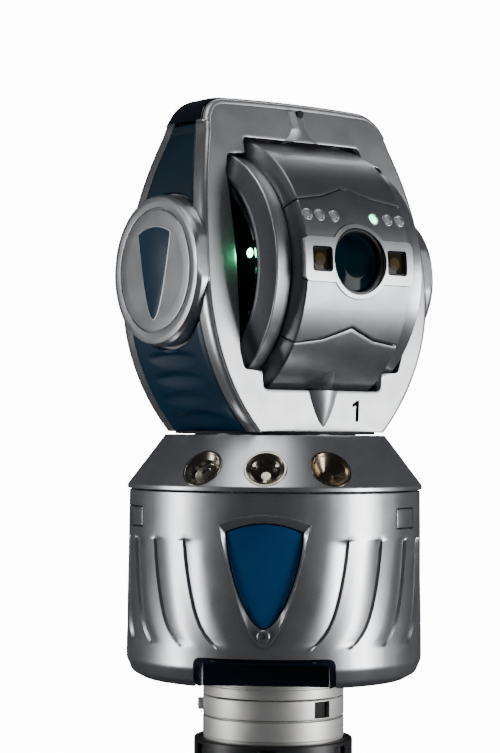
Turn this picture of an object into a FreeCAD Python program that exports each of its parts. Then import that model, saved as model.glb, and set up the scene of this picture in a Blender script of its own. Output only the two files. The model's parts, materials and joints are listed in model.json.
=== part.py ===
"""Laser measuring head on a stand mount, built as the separate pieces it comes apart into.

Frame: origin on the azimuth axis at the mouth of the stand thread, +Z up along that axis,
-Y out of the front of the yoke.  The elevation axis runs along X.  Millimetres and degrees.
Four groups move against each other: the base, its lock ring, the yoke and the drum.
"""
import FreeCAD, Part
import math
import os

import Sketcher
from FreeCAD import Placement, Rotation, Vector

doc = FreeCAD.newDocument("laser_head")
sheet = doc.addObject("Spreadsheet::Sheet", "sizes")


# ---------------------------------------------------------------------------- sizes

SIZES = {
    # stand mount and neck
    "thread_radius": 42.73,
    "thread_depth": 38.0,
    "sleeve_wall": 7.27,
    "nut_wall": 8.6,
    "nut_height": 23.0,
    "nut_edge": 1.2,
    "notch_width": 14.0,
    "notch_depth": 4.0,
    "notch_count": 6,
    "notch_bearing": 30.0,
    "neck_wall": 9.37,
    "lock_bottom": 40.0,
    "lock_height": 14.0,
    "lock_gap": 0.3,
    "lock_wall": 3.3,
    "lock_slot_width": 15.0,
    "lock_slot_bearing": 47.0,
    "lug_bearing": -82.0,
    "lug_width": 11.0,
    "lug_height": 8.0,
    "lug_reach": 4.0,
    "spigot_radius": 40.0,
    # base housing
    "base_turn": -41.0,
    "foot_z": 68.0,
    "plate_thickness": 6.0,
    "plate_screw_circle": 70.0,
    "plate_screw_radius": 2.5,
    "plate_screw_count": 6,
    "housing_foot_inset": 12.0,
    "housing_radius": 109.0,
    "housing_draft": 1.5,
    "housing_round": 14.0,
    "housing_top": 205.0,
    "housing_wall": 3.5,
    "lip_height": 4.0,
    "collar_top": 245.5,
    "collar_top_radius": 81.3,
    "collar_mouth": 63.0,
    # reflector nests in the collar
    "nest_radius": 15.25,
    "nest_depth": 13.0,
    "nest_height": 222.0,
    "nest_spread": 27.2,
    "middle_ball_radius": 11.11,
    "small_ball_radius": 6.35,
    "nest_rim": 2.0,
    "nest_ledge": 2.0,
    "magnet_radius": 3.5,
    "magnet_height": 3.0,
    # badge, recess and covers on the base
    "badge_top": 190.0,
    "badge_corner": 183.0,
    "badge_half": 33.3,
    "badge_tip": 97.0,
    "badge_side_arc": 110.0,
    "badge_top_arc": 83.0,
    "badge_border": 3.6,
    "badge_proud": 0.6,
    "recess_half": 50.0,
    "recess_top": 90.0,
    "recess_depth": 34.0,
    "liner_wall": 3.5,
    "access_bearing": 65.0,
    "access_width": 27.0,
    "access_height": 15.0,
    "access_bottom": 179.0,
    "access_thickness": 1.5,
    "panel_half": 45.0,
    "panel_bottom": 96.0,
    "panel_height": 44.0,
    "panel_depth": 9.0,
    "socket_radius": 9.0,
    "socket_spacing": 28.0,
    # azimuth drive
    "spindle_radius": 30.0,
    "spindle_bore": 22.0,
    "running_gap": 0.05,
    "azimuth_bearing_section": 12.0,
    "azimuth_bearing_width": 14.0,
    "azimuth_bearing_low": 84.0,
    "azimuth_bearing_high": 214.0,
    "drive_tube_wall": 8.0,
    "drive_tube_top": 232.0,
    "motor_low": 120.0,
    "motor_height": 40.0,
    "motor_gap": 0.5,
    "rotor_thickness": 5.0,
    "encoder_low": 180.0,
    "encoder_width": 8.0,
    "encoder_thickness": 2.0,
    "flange_radius": 60.0,
    "flange_thickness": 9.0,
    "board_width": 90.0,
    "board_height": 70.0,
    "board_thickness": 2.0,
    "board_back": 74.0,
    "board_low": 110.0,
    # yoke casing
    "yoke_floor": 247.5,
    "waist_height": 355.0,
    "waist_half": 99.5,
    "upper_arc": 342.0,
    "lower_arc": 155.0,
    "shoulder_height": 473.0,
    "crown_height": 491.0,
    "crown_step": 37.5,
    "crown_arc": 20.0,
    "depth_half": 57.2,
    "depth_height": 300.0,
    "depth_arc": 484.5,
    "bezel_thickness": 4.5,
    "side_thickness": 3.0,
    "strip_width": 13.0,
    "panel_top": 469.0,
    "base_casting_top": 285.0,
    "bridge_bottom": 455.0,
    "boss_inset": 2.5,
    "boss_height": 10.5,
    "boss_root_radius": 56.0,
    "boss_face_radius": 50.0,
    "boss_arc_gap": 0.8,
    "cap_radius": 44.0,
    "cap_wall": 3.0,
    "inlay_half": 22.5,
    "inlay_tip": -36.0,
    "inlay_corner": 26.0,
    "inlay_thickness": 1.0,
    "ridge_half": 12.0,
    "ridge_height": 5.0,
    "sight_lean": 20.0,
    "sight_upper_half": 14.5,
    "sight_upper_depth": 30.5,
    "sight_upper_foot": 460.0,
    "sight_upper_length": 22.0,
    "sight_lower_half": 12.0,
    "sight_lower_foot": 281.0,
    "sight_lower_length": 28.0,
    # clearances cut round the drum
    "axis_height": 362.5,
    "window_radius": 102.0,
    "window_half": 54.0,
    "cheek_radius": 91.5,
    "cheek_half": 74.5,
    "channel_gap": 1.0,
    # elevation drive
    "trunnion_radius": 22.0,
    "trunnion_root": 48.0,
    "trunnion_end": 98.5,
    "elevation_bearing_radius": 32.0,
    "elevation_bearing_width": 12.0,
    "elevation_bearing_place": 79.0,
    "counterbore_radius": 42.0,
    "counterbore_place": 92.0,
    "elevation_rotor_width": 5.5,
    # drum
    "rest_pitch": 3.8,
    "drum_radius": 98.5,
    "drum_wall": 4.0,
    "drum_half": 51.5,
    "drum_round": 4.0,
    "drum_lip_radius": 87.0,
    "drum_lip_inner": 83.0,
    "drum_core_radius": 60.0,
    "drum_flange": 7.5,
    "drum_neck_radius": 80.0,
    "drum_neck_half": 55.5,
    "brow_peak": 54.7,
    "brow_kink": 46.9,
    "brow_end": 42.2,
    "chin_peak": -46.4,
    "chin_kink": -54.5,
    "chin_end": -58.4,
    "kink_half": 23.0,
    "plate_half": 49.0,
    "plate_half_height": 16.0,
    "plate_bulge": 27.0,
    "plate_proud": 1.0,
    "lens_radius": 21.0,
    "lens_ring_wall": 3.0,
    "lens_inset": 6.0,
    "lens_thickness": 4.0,
    "tube_radius": 18.0,
    "camera_place": 34.0,
    "camera_window_half": 9.0,
    "camera_window_thickness": 2.0,
    "camera_length": 24.0,
    "indicator_radius": 3.25,
    "indicator_angle": 18.9,
    "indicator_length": 5.0,
    "indicator_first": 18.0,
    "indicator_second": 31.0,
    "indicator_third": 42.0,
    "disc_back_radius": 86.3,
    "disc_radius": 89.0,
    "disc_edge": 66.5,
    "disc_face": 73.0,
    "disc_face_radius": 76.5,
    "disc_rim": 2.5,
    "dish_radius": 66.0,
    "dish_floor": 62.0,
    "side_light_length": 2.0,
    "side_light_radius": 3.0,
    "side_light_reach": 55.0,
    "side_light_height": 13.5,
}


class Dim:
    """A size with its value now and the sheet expression that gives it."""

    def __init__(self, value, text):
        self.value = float(value)
        self.text = text

    def __add__(self, other):
        other = dim(other)
        return Dim(self.value + other.value, f"({self.text} + {other.text})")

    def __sub__(self, other):
        other = dim(other)
        return Dim(self.value - other.value, f"({self.text} - {other.text})")

    def __mul__(self, other):
        other = dim(other)
        return Dim(self.value * other.value, f"({self.text} * {other.text})")

    def __truediv__(self, other):
        other = dim(other)
        return Dim(self.value / other.value, f"({self.text} / {other.text})")

    def __radd__(self, other):
        return dim(other) + self

    def __rsub__(self, other):
        return dim(other) - self

    def __rmul__(self, other):
        return dim(other) * self

    def __neg__(self):
        return Dim(-self.value, f"(0 - {self.text})")


def dim(number):
    """Give a plain number the same form as a named size."""
    if isinstance(number, Dim):
        return number
    return Dim(number, f"({number})")


def root(size):
    return Dim(math.sqrt(size.value), f"sqrt({size.text})")


def sine(angle):
    return Dim(math.sin(math.radians(angle.value)), f"sin({angle.text})")


def cosine(angle):
    return Dim(math.cos(math.radians(angle.value)), f"cos({angle.text})")


class Sizes:
    """Every named size as an attribute, each bound to its cell of the sheet."""

    def __init__(self, table):
        for row, (alias, value) in enumerate(table.items(), start=1):
            sheet.set(f"A{row}", alias)
            sheet.set(f"B{row}", str(value))
            sheet.setAlias(f"B{row}", alias)
            setattr(self, alias, Dim(value, f"sizes.{alias}"))


S = Sizes(SIZES)
doc.recompute()


# ---------------------------------------------------------------------------- tools

ALONG = {
    "x": Rotation(Vector(0, 1, 0), 90),
    "-x": Rotation(Vector(0, 1, 0), -90),
    "y": Rotation(Vector(1, 0, 0), -90),
    "-y": Rotation(Vector(1, 0, 0), 90),
    "z": Rotation(),
}
PLANES = {
    "xz": Rotation(Vector(1, 0, 0), 90),
    "yz": Rotation(Vector(1, 1, 1), 120),
    "xy": Rotation(),
}
FAR = 400
subparts = []


def bind(thing, path, size):
    thing.setExpression(path, dim(size).text)


def put(thing, at, rotation=Rotation()):
    """Place a primitive, with its position bound to the sheet."""
    at = [dim(value) for value in at]
    thing.Placement = Placement(Vector(*[value.value for value in at]), rotation)
    for letter, value in zip("xyz", at):
        bind(thing, f"Placement.Base.{letter}", value)
    return thing


def box(name, low, high):
    thing = doc.addObject("Part::Box", name)
    for side, near, far in zip(("Length", "Width", "Height"), low, high):
        bind(thing, side, dim(far) - near)
    return put(thing, low)


def cylinder(name, radius, height, at=(0, 0, 0), along="z"):
    thing = doc.addObject("Part::Cylinder", name)
    bind(thing, "Radius", radius)
    bind(thing, "Height", height)
    return put(thing, at, ALONG[along])


def cone(name, radius, end_radius, height, at=(0, 0, 0), along="z"):
    thing = doc.addObject("Part::Cone", name)
    bind(thing, "Radius1", radius)
    bind(thing, "Radius2", end_radius)
    bind(thing, "Height", height)
    return put(thing, at, ALONG[along])


def fuse(name, *pieces):
    if len(pieces) == 1:
        return pieces[0]
    thing = doc.addObject("Part::MultiFuse", name)
    thing.Shapes = list(pieces)
    return thing


def cut(name, base, *tools):
    thing = doc.addObject("Part::Cut", name)
    thing.Base = base
    thing.Tool = fuse(name + "_tools", *tools)
    return thing


def common(name, first, *others):
    """Keep what lies inside every one of the given solids."""
    kept = first
    for step, other in enumerate(others):
        last = step == len(others) - 1
        thing = doc.addObject("Part::Common", name if last else f"{name}_step{step}")
        thing.Base = kept
        thing.Tool = other
        kept = thing
    return kept


def arc_between(start, end, radius):
    """A short arc from start to end; a negative radius turns it clockwise."""
    if radius < 0:
        return arc_between(end, start, -radius)
    chord = end - start
    left = Vector(-chord.y, chord.x, 0).normalize()
    rise = math.sqrt(radius**2 - (chord.Length / 2) ** 2)
    centre = (start + end) * 0.5 + left * rise
    first = math.atan2(start.y - centre.y, start.x - centre.x)
    last = math.atan2(end.y - centre.y, end.x - centre.x)
    if last < first:
        last += 2 * math.pi
    return Part.ArcOfCircle(Part.Circle(centre, Vector(0, 0, 1), radius), first, last)


def draw(sketch, corners):
    """Draw a closed outline whose corners and arc radii follow the sheet.

    A corner is (x, y), or (x, y, radius) where the edge that leaves it is an arc.
    """
    points = [Vector(dim(corner[0]).value, dim(corner[1]).value, 0) for corner in corners]
    ends = []
    for index, corner in enumerate(corners):
        start = points[index]
        end = points[(index + 1) % len(points)]
        if len(corner) == 3:
            radius = dim(corner[2])
            sketch.addGeometry(arc_between(start, end, radius.value))
            constraint = Sketcher.Constraint("Radius", index, abs(radius.value))
            number = sketch.addConstraint(constraint)
            sketch.renameConstraint(number, f"arc_{index}")
            bind(sketch, f"Constraints.arc_{index}", Dim(0, f"abs({radius.text})"))
            ends.append((1, 2) if radius.value > 0 else (2, 1))
        else:
            sketch.addGeometry(Part.LineSegment(start, end))
            ends.append((1, 2))
    for index, corner in enumerate(corners):
        following = (index + 1) % len(corners)
        joined = Sketcher.Constraint("Coincident", index, ends[index][1], following, ends[following][0])
        sketch.addConstraint(joined)
        place_corner(sketch, index, ends[index][0], corner)


def place_corner(sketch, index, end, corner):
    """Hold one corner of an outline at its two distances from the sketch's origin."""
    places = (("across", "DistanceX", -2, corner[0]), ("up", "DistanceY", -1, corner[1]))
    for name, kind, axis, distance in places:
        distance = dim(distance)
        if abs(distance.value) < 1e-9:
            sketch.addConstraint(Sketcher.Constraint("PointOnObject", index, end, axis))
            continue
        constraint = Sketcher.Constraint(kind, -1, 1, index, end, distance.value)
        number = sketch.addConstraint(constraint)
        sketch.renameConstraint(number, f"{name}_{index}")
        bind(sketch, f"Constraints.{name}_{index}", distance)


def prism(name, plane, corners, forward, backward=0):
    """Extrude an outline; "xz" runs forward to -Y, "yz" to +X and "xy" to +Z."""
    sketch = doc.addObject("Sketcher::SketchObject", name + "_outline")
    sketch.Placement = Placement(Vector(), PLANES[plane])
    draw(sketch, corners)
    thing = doc.addObject("Part::Extrusion", name)
    thing.Base = sketch
    thing.DirMode = "Normal"
    thing.Solid = True
    bind(thing, "LengthFwd", forward)
    bind(thing, "LengthRev", backward)
    return thing


def origin_plane(body, role):
    return next(feature for feature in body.Origin.OriginFeatures if feature.Role == role)


def body_sketch(body, name, role, corners):
    sketch = body.newObject("Sketcher::SketchObject", name)
    sketch.AttachmentSupport = [(origin_plane(body, role), "")]
    sketch.MapMode = "FlatFace"
    draw(sketch, corners)
    return sketch


def turned(name, profile, about="V_Axis"):
    """A lathe-turned body.

    About V_Axis the profile's points are (radius, z); about H_Axis they are (x, radius).
    """
    body = doc.addObject("PartDesign::Body", name + "_body")
    sketch = body_sketch(body, name + "_profile", "XZ_Plane", profile)
    turn = body.newObject("PartDesign::Revolution", name + "_turn")
    turn.Profile = sketch
    turn.ReferenceAxis = (sketch, [about])
    turn.Angle = 360
    body.Tip = turn
    return body


def notched(body, name, corners, depth, count):
    """Cut one pocket up from the body's XY plane and repeat it round the Z axis."""
    doc.recompute()
    before = body.Shape.Volume
    sketch = body_sketch(body, name + "_sketch", "XY_Plane", corners)
    pocket = body.newObject("PartDesign::Pocket", name)
    pocket.Profile = sketch
    pocket.Reversed = True
    bind(pocket, "Length", depth)
    doc.recompute()
    pattern = body.newObject("PartDesign::PolarPattern", name + "_pattern")
    pattern.Originals = [pocket]
    pattern.Axis = (sketch, ["N_Axis"])
    pattern.Angle = 360
    bind(pattern, "Occurrences", count)
    body.Tip = pattern
    doc.recompute()
    if body.Shape.Volume > before - 1:
        raise RuntimeError(f"{name} cut nothing")
    return body


def tube(name, inner, outer, low, high, about="V_Axis"):
    """A plain ring between two radii and two places along its axis."""
    if about == "V_Axis":
        profile = [(inner, low), (outer, low), (outer, high), (inner, high)]
    else:
        profile = [(low, inner), (high, inner), (high, outer), (low, outer)]
    return turned(name, profile, about)


def keep(thing, label):
    """Name a finished sub-part; its label names its file."""
    thing.Label = label
    subparts.append(thing)
    return thing


def turn_to(thing, bearing):
    """Turn a solid about the Z axis, from facing -Y to a bearing."""
    thing.Placement = Placement(Vector(), Rotation(Vector(0, 0, 1), bearing.value))
    bind(thing, "Placement.Rotation.Angle", bearing)
    return thing


def keep_on_base(thing, label):
    """A base piece is drawn facing -Y and turned to where the base points."""
    return keep(turn_to(thing, S.base_turn), label)


def keep_on_drum(thing, label):
    """A drum piece is drawn about its own axis and lifted, pitched, onto the trunnion line."""
    put(thing, (0, 0, S.axis_height), Rotation(Vector(-1, 0, 0), S.rest_pitch.value))
    bind(thing, "Placement.Rotation.Angle", S.rest_pitch)
    return keep(thing, label)


# ---------------------------------------------------------------------------- stand mount

sleeve_radius = S.thread_radius + S.sleeve_wall
nut_radius = sleeve_radius + S.nut_wall
neck_radius = S.thread_radius + S.neck_wall
lock_top = S.lock_bottom + S.lock_height
lock_seat = neck_radius - S.lock_wall - S.lock_gap
plate_top = S.foot_z + S.plate_thickness


def stand_nut():
    """Black hand nut round the foot of the neck, notched for a hook spanner."""
    body = turned("stand_nut", [
        (sleeve_radius, 0),
        (nut_radius - S.nut_edge, 0),
        (nut_radius, S.nut_edge),
        (nut_radius, S.nut_height - S.nut_edge),
        (nut_radius - S.nut_edge, S.nut_height),
        (sleeve_radius, S.nut_height),
    ])
    half = S.notch_width / 2
    floor = nut_radius - S.notch_depth
    beyond = nut_radius + S.notch_depth
    corners = [(-half, -beyond), (half, -beyond), (half, -floor), (-half, -floor)]
    notched(body, "nut_notch", corners, S.nut_height, S.notch_count)
    keep(turn_to(body, S.base_turn + S.notch_bearing), "stand_nut")


def mount_adapter():
    """Machined neck: threaded socket below, seat of the lock ring, spigot above."""
    body = turned("mount_adapter", [
        (0, S.thread_depth),
        (S.thread_radius, S.thread_depth),
        (S.thread_radius, 0),
        (sleeve_radius, 0),
        (sleeve_radius, S.nut_height),
        (neck_radius, S.nut_height),
        (neck_radius, S.lock_bottom - S.lock_gap),
        (lock_seat, S.lock_bottom - S.lock_gap),
        (lock_seat, lock_top + S.lock_gap),
        (neck_radius, lock_top + S.lock_gap),
        (neck_radius, S.foot_z),
        (S.spigot_radius, S.foot_z),
        (S.spigot_radius, plate_top),
        (0, plate_top),
    ])
    keep_on_base(body, "mount_adapter")


def lock_ring():
    """Ring that turns in the neck's groove, with a window and a finger lug."""
    ring = tube("lock_band", lock_seat + S.lock_gap, neck_radius, S.lock_bottom, lock_top)
    half = S.lock_slot_width / 2
    block = box("lock_window_block", (-half, -FAR, S.lock_bottom), (half, 0, lock_top))
    window = common("lock_window", block, cylinder("lock_window_zone", FAR, FAR))
    turn_to(window, S.lock_slot_bearing)
    middle = S.lock_bottom + S.lock_height / 2
    lug_block = box(
        "lug_block",
        (-(S.lug_width / 2), -(neck_radius + S.lug_reach), middle - S.lug_height / 2),
        (S.lug_width / 2, -(neck_radius - S.lock_wall / 2), middle + S.lug_height / 2),
    )
    lug = common("lug", lug_block, cylinder("lug_zone", neck_radius + S.lug_reach, FAR))
    turn_to(lug, S.lug_bearing)
    keep_on_base(fuse("lock_ring_whole", cut("lock_band_cut", ring, window), lug), "lock_ring")


# ---------------------------------------------------------------------------- base casing

foot_radius = S.housing_radius - S.housing_foot_inset
top_radius = S.housing_radius - S.housing_draft
recess_floor = S.housing_radius - S.recess_depth


def base_front_block(name, half, low, high, back):
    """A block reaching out through the front wall of the base."""
    return box(name, (-half, -FAR, low), (half, -back, high))


def base_plate():
    """Floor of the base, bolted to the neck's spigot, notched for the front recess."""
    rim = foot_radius - S.housing_wall
    body = tube("plate", S.spigot_radius, rim, S.foot_z, plate_top)
    holes = screw_set("plate_hole", S.foot_z - 1, plate_top + 1, S.plate_screw_radius)
    recess = base_front_block("plate_recess", S.recess_half, S.foot_z - 1, plate_top + 1, recess_floor)
    keep_on_base(cut("plate_bored", body, holes, recess), "base_plate")


def screw_set(name, low, high, radius):
    """Equal posts on the plate's screw circle."""
    posts = []
    for index in range(SIZES["plate_screw_count"]):
        angle = dim(360 * (index + 0.5)) / S.plate_screw_count
        at = (S.plate_screw_circle * sine(angle), S.plate_screw_circle * cosine(angle), low)
        posts.append(cylinder(f"{name}_{index}", radius, high - low, at))
    return fuse(name, *posts)


def base_plate_screws():
    keep_on_base(screw_set("plate_screw", S.foot_z, plate_top, S.plate_screw_radius), "base_plate_screws")


def shield(name, top, corner, half, tip, side_arc, top_arc, near, far, plane="xz"):
    """A shield outline, arched on top with two bowed sides, as a prism from near to far."""
    outline = [(0, tip, side_arc), (half, corner, top_arc), (-half, corner, side_arc)]
    return prism(name, plane, outline, far, -near)


def badge_zone(name, inset, near, far):
    """The badge's outline, drawn in by an inset."""
    return shield(
        name, S.badge_top - inset, S.badge_corner - inset, S.badge_half - inset,
        S.badge_tip + inset * 3, S.badge_side_arc, S.badge_top_arc, near, far,
    )


def housing_outside():
    """Outer half-section of the base casing, from its foot to its top edge."""
    knee = foot_radius + (S.housing_radius - foot_radius) * 0.65
    return [
        (foot_radius, S.foot_z),
        (knee, S.foot_z + S.housing_round * 0.3),
        (S.housing_radius, S.foot_z + S.housing_round),
        (top_radius, S.housing_top),
    ]


def base_housing():
    """Drum-shaped outer casing with its foot rounded in."""
    wall = S.housing_wall
    foot = S.foot_z
    outside = housing_outside()
    inside = [(radius - wall, height + wall) for radius, height in outside[:3]]
    inside.append((top_radius - wall, S.housing_top))
    inside.insert(0, (foot_radius - wall, foot))
    shell = turned("housing", outside + inside[::-1])
    recess = base_front_block("housing_recess", S.recess_half, foot - 1, S.recess_top, recess_floor)
    badge = badge_zone("housing_badge", 0, S.spigot_radius, FAR)
    panel = box(
        "housing_panel",
        (-S.panel_half, S.spigot_radius, S.panel_bottom),
        (S.panel_half, FAR, S.panel_bottom + S.panel_height),
    )
    covers = access_zones("housing_access", 0, S.access_thickness)
    keep_on_base(cut("housing_open", shell, recess, badge, panel, covers), "base_housing")


def access_zones(name, inset, depth):
    """The two small rounded lids' places, sunk in the wall at equal bearings."""
    zones = []
    for side in (-1, 1):
        block = box(
            f"{name}_block{side + 1}",
            (-(S.access_width / 2) + inset, -FAR, S.access_bottom + inset),
            (S.access_width / 2 - inset, 0, S.access_bottom + S.access_height - inset),
        )
        skin = tube(f"{name}_skin{side + 1}", top_radius - depth, S.housing_radius + 2,
                    S.access_bottom - 1, S.access_bottom + S.access_height + 1)
        zones.append(turn_to(common(f"{name}_zone{side + 1}", block, skin), side * S.access_bearing))
    return fuse(name, *zones)


def access_covers():
    """Two small lids, flush with the wall."""
    skin = cylinder("access_flush", top_radius, S.housing_top)
    lids = access_zones("access_lid", 0.2, S.access_thickness)
    keep_on_base(common("access_lids", lids, skin), "access_covers")


def badge_pieces():
    """Shield badge: a bright border and a coloured insert."""
    outer = S.housing_radius + S.badge_proud
    inner = top_radius - S.housing_wall
    skin = tube("badge_skin", inner, outer, S.badge_tip - 5, S.badge_top + 5)
    whole = badge_zone("badge_whole", 0, S.spigot_radius, FAR)
    middle = badge_zone("badge_middle", S.badge_border, S.spigot_radius, FAR)
    keep_on_base(cut("badge_rim", common("badge_plate", whole, skin), middle), "badge_bezel")
    face = tube("insert_skin", inner, outer - S.badge_proud * 2, S.badge_tip - 5, S.badge_top + 5)
    keep_on_base(common("insert_body", middle, face), "badge_insert")


def recess_liner():
    """Dark liner of the recess at the front foot, open forwards and down."""
    half = S.recess_half
    outside = housing_outside()
    skin = turned("liner_skin", [(0, S.foot_z)] + outside + [(0, S.housing_top)])
    block = base_front_block("liner_outer", half, S.foot_z, S.recess_top, recess_floor)
    outer = common("liner_block", block, skin)
    room = box(
        "liner_room",
        (-half + S.liner_wall, -FAR, S.foot_z - 1),
        (half - S.liner_wall, -recess_floor - S.liner_wall, S.recess_top - S.liner_wall),
    )
    outer = cut("liner_hollow", outer, room)
    keep_on_base(outer, "recess_liner")


def connector_pieces():
    """Rear plate with three round sockets, sunk in the back wall."""
    back = top_radius - S.housing_wall / 2
    top = S.panel_bottom + S.panel_height
    low = (-S.panel_half, back - S.panel_depth, S.panel_bottom)
    plate = box("panel_plate", low, (S.panel_half, back, top))
    plate = common("panel_trimmed", plate, cylinder("panel_skin", top_radius, FAR))
    middle = S.panel_bottom + S.panel_height / 2
    sockets = []
    holes = []
    for place in (-1, 0, 1):
        at = (place * S.socket_spacing, back - S.panel_depth, middle)
        holes.append(cylinder(f"socket_hole{place + 1}", S.socket_radius, FAR, at, "y"))
        shell = cylinder(f"socket_shell{place + 1}", S.socket_radius, S.panel_depth - 1, at, "y")
        mouth_at = (place * S.socket_spacing, back - S.panel_depth + 3, middle)
        mouth = cylinder(f"socket_mouth{place + 1}", S.socket_radius - 2, FAR, mouth_at, "y")
        sockets.append(cut(f"socket_{place + 1}", shell, mouth))
    keep_on_base(cut("panel_bored", plate, *holes), "connector_panel")
    keep_on_base(fuse("socket_group", *sockets), "rear_sockets")


# ---------------------------------------------------------------------------- collar and nests

lip_top = S.housing_top + S.lip_height
slope_run = S.housing_radius - S.collar_top_radius
slope_rise = S.collar_top - lip_top
slope_length = root(slope_run * slope_run + slope_rise * slope_rise)
nest_reach = S.housing_radius - (S.nest_height - lip_top) * slope_run / slope_rise
NESTS = {"nest_left": -1, "nest_middle": 0, "nest_right": 1}


def place_nest(thing, side):
    """Stand a piece drawn up along +Z square on the collar's slope at one nest."""
    bearing = S.base_turn + side * S.nest_spread
    tilt = math.degrees(math.atan2(slope_rise.value, slope_run.value))
    turn = Rotation(Vector(0, 0, 1), bearing.value) * Rotation(Vector(1, 0, 0), tilt)
    at = (nest_reach * sine(bearing), -(nest_reach * cosine(bearing)), S.nest_height)
    return put(thing, at, turn)


def nest_profiles():
    """Half-sections of the three nests, each hollowed for its own size of ball."""
    rim = S.nest_radius - S.nest_rim
    well = S.magnet_radius
    foot = -S.nest_depth
    magnet_top = foot + S.magnet_height
    outside = [(well, foot), (S.nest_radius, foot), (S.nest_radius, 0), (rim, 0)]
    ledge = rim - S.nest_ledge
    dip = -S.nest_ledge
    return {
        "nest_left": outside + [
            (rim - 1.5, dip),
            (ledge, dip - 1),
            (ledge - 2, magnet_top + 2),
            (well, magnet_top),
        ],
        "nest_middle": outside + [(ledge, dip, -(S.middle_ball_radius * 1.6)), (well, magnet_top)],
        "nest_right": outside + [
            (ledge, dip),
            (S.small_ball_radius - 1, magnet_top + 1),
            (well, magnet_top),
        ],
    }


def nests():
    """Three steel nests in the collar and the magnets under their seats."""
    magnets = []
    for label, profile in nest_profiles().items():
        side = NESTS[label]
        keep(place_nest(turned(label, profile), side), label)
        magnet = turned(label + "_magnet", [
            (0, -S.nest_depth),
            (S.magnet_radius, -S.nest_depth),
            (S.magnet_radius, S.magnet_height - S.nest_depth),
            (0, S.magnet_height - S.nest_depth),
        ])
        magnets.append(place_nest(magnet, side))
    keep(fuse("magnet_group", *magnets), "nest_magnets")


def collar_cover():
    """Sloping collar on top of the base, bored for the three nests."""
    wall = S.housing_wall
    shell = turned("collar", [
        (top_radius - wall * 2, S.housing_top),
        (S.housing_radius - 0.5, S.housing_top),
        (S.housing_radius, S.housing_top + 0.5),
        (S.housing_radius, lip_top),
        (S.collar_top_radius, S.collar_top),
        (S.collar_mouth, S.collar_top),
        (S.collar_mouth, S.collar_top - wall),
        (S.housing_radius - wall * 2, lip_top),
        (top_radius - wall * 2, lip_top),
    ])
    bores = []
    for label, side in NESTS.items():
        low = -S.nest_depth - 1
        bore = turned(label + "_bore", [(0, low), (S.nest_radius, low), (S.nest_radius, 1), (0, 1)])
        bores.append(place_nest(bore, side))
    keep(cut("collar_bored", shell, *bores), "collar_cover")


# ---------------------------------------------------------------------------- azimuth drive


def azimuth_drive():
    """Bearing tube, bearings and motor of the turning axis, inside the base."""
    low = S.azimuth_bearing_low
    high = S.azimuth_bearing_high
    width = S.azimuth_bearing_width
    bore = (S.spindle_radius + S.azimuth_bearing_section)
    drive_tube = tube("drive_tube", bore, bore + S.drive_tube_wall, plate_top, S.drive_tube_top)
    keep_on_base(drive_tube, "azimuth_housing")
    inner = S.spindle_radius + S.running_gap
    rings = [
        tube("bearing_low", inner, bore, low, low + width),
        tube("bearing_high", inner, bore, high, high + width),
    ]
    keep_on_base(fuse("azimuth_bearing_pair", *rings), "azimuth_bearings")
    rotor = S.spindle_radius + S.rotor_thickness
    top = S.motor_low + S.motor_height
    keep_on_base(tube("stator", rotor + S.motor_gap, bore, S.motor_low, top), "azimuth_stator")
    keep(tube("rotor", S.spindle_radius, rotor, S.motor_low, top), "azimuth_rotor")
    disc_top = S.encoder_low + S.encoder_thickness
    disc_rim = S.spindle_radius + S.encoder_width
    keep(tube("disc", S.spindle_radius, disc_rim, S.encoder_low, disc_top), "azimuth_encoder_disc")
    spindle = turned("spindle", [
        (S.spindle_bore, low - 4),
        (S.spindle_radius, low - 4),
        (S.spindle_radius, S.yoke_floor - S.flange_thickness),
        (S.flange_radius, S.yoke_floor - S.flange_thickness),
        (S.flange_radius, S.yoke_floor),
        (S.spindle_bore, S.yoke_floor),
    ])
    keep(spindle, "azimuth_spindle")


def controller_board():
    """Circuit board standing behind the bearing tube."""
    half = S.board_width / 2
    board = box(
        "board_plate",
        (-half, S.board_back, S.board_low),
        (half, S.board_back + S.board_thickness, S.board_low + S.board_height),
    )
    chip = box(
        "board_chip",
        (-half / 2, S.board_back - 4, S.board_low + 10),
        (half / 2, S.board_back, S.board_low + S.board_height - 10),
    )
    keep_on_base(fuse("board", board, chip), "controller_board")


# ---------------------------------------------------------------------------- yoke casing


boss_root = S.waist_half - S.boss_inset
boss_face = S.waist_half + S.boss_height


def front_outline(offset):
    """Half-barrel outline seen from the front, moved out by an offset."""
    offset = dim(offset)
    upper = S.upper_arc + offset
    lower = S.lower_arc + offset
    reach = S.waist_half + offset
    rise = S.shoulder_height - S.waist_height
    drop = S.waist_height - S.yoke_floor
    shoulder = reach - upper + root(upper * upper - rise * rise)
    foot = reach - lower + root(lower * lower - drop * drop)
    top = S.crown_height - S.side_thickness + offset
    crown_half = S.waist_half - S.crown_step
    return [
        (-foot, S.yoke_floor),
        (foot, S.yoke_floor, lower),
        (reach, S.waist_height, upper),
        (shoulder, S.shoulder_height, S.crown_arc),
        (crown_half, top),
        (-crown_half, top, S.crown_arc),
        (-shoulder, S.shoulder_height, upper),
        (-reach, S.waist_height, lower),
    ]


def side_outline(offset):
    """Outline seen from the side: upright below, bowed in towards the crown."""
    offset = dim(offset)
    reach = S.depth_half + offset
    bow = S.depth_arc + offset
    rise = S.crown_height - S.depth_height
    top = reach - bow + root(bow * bow - rise * rise)
    return [
        (-reach, S.yoke_floor),
        (reach, S.yoke_floor),
        (reach, S.depth_height, bow),
        (top, S.crown_height),
        (-top, S.crown_height, bow),
        (-reach, S.depth_height),
    ]


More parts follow.
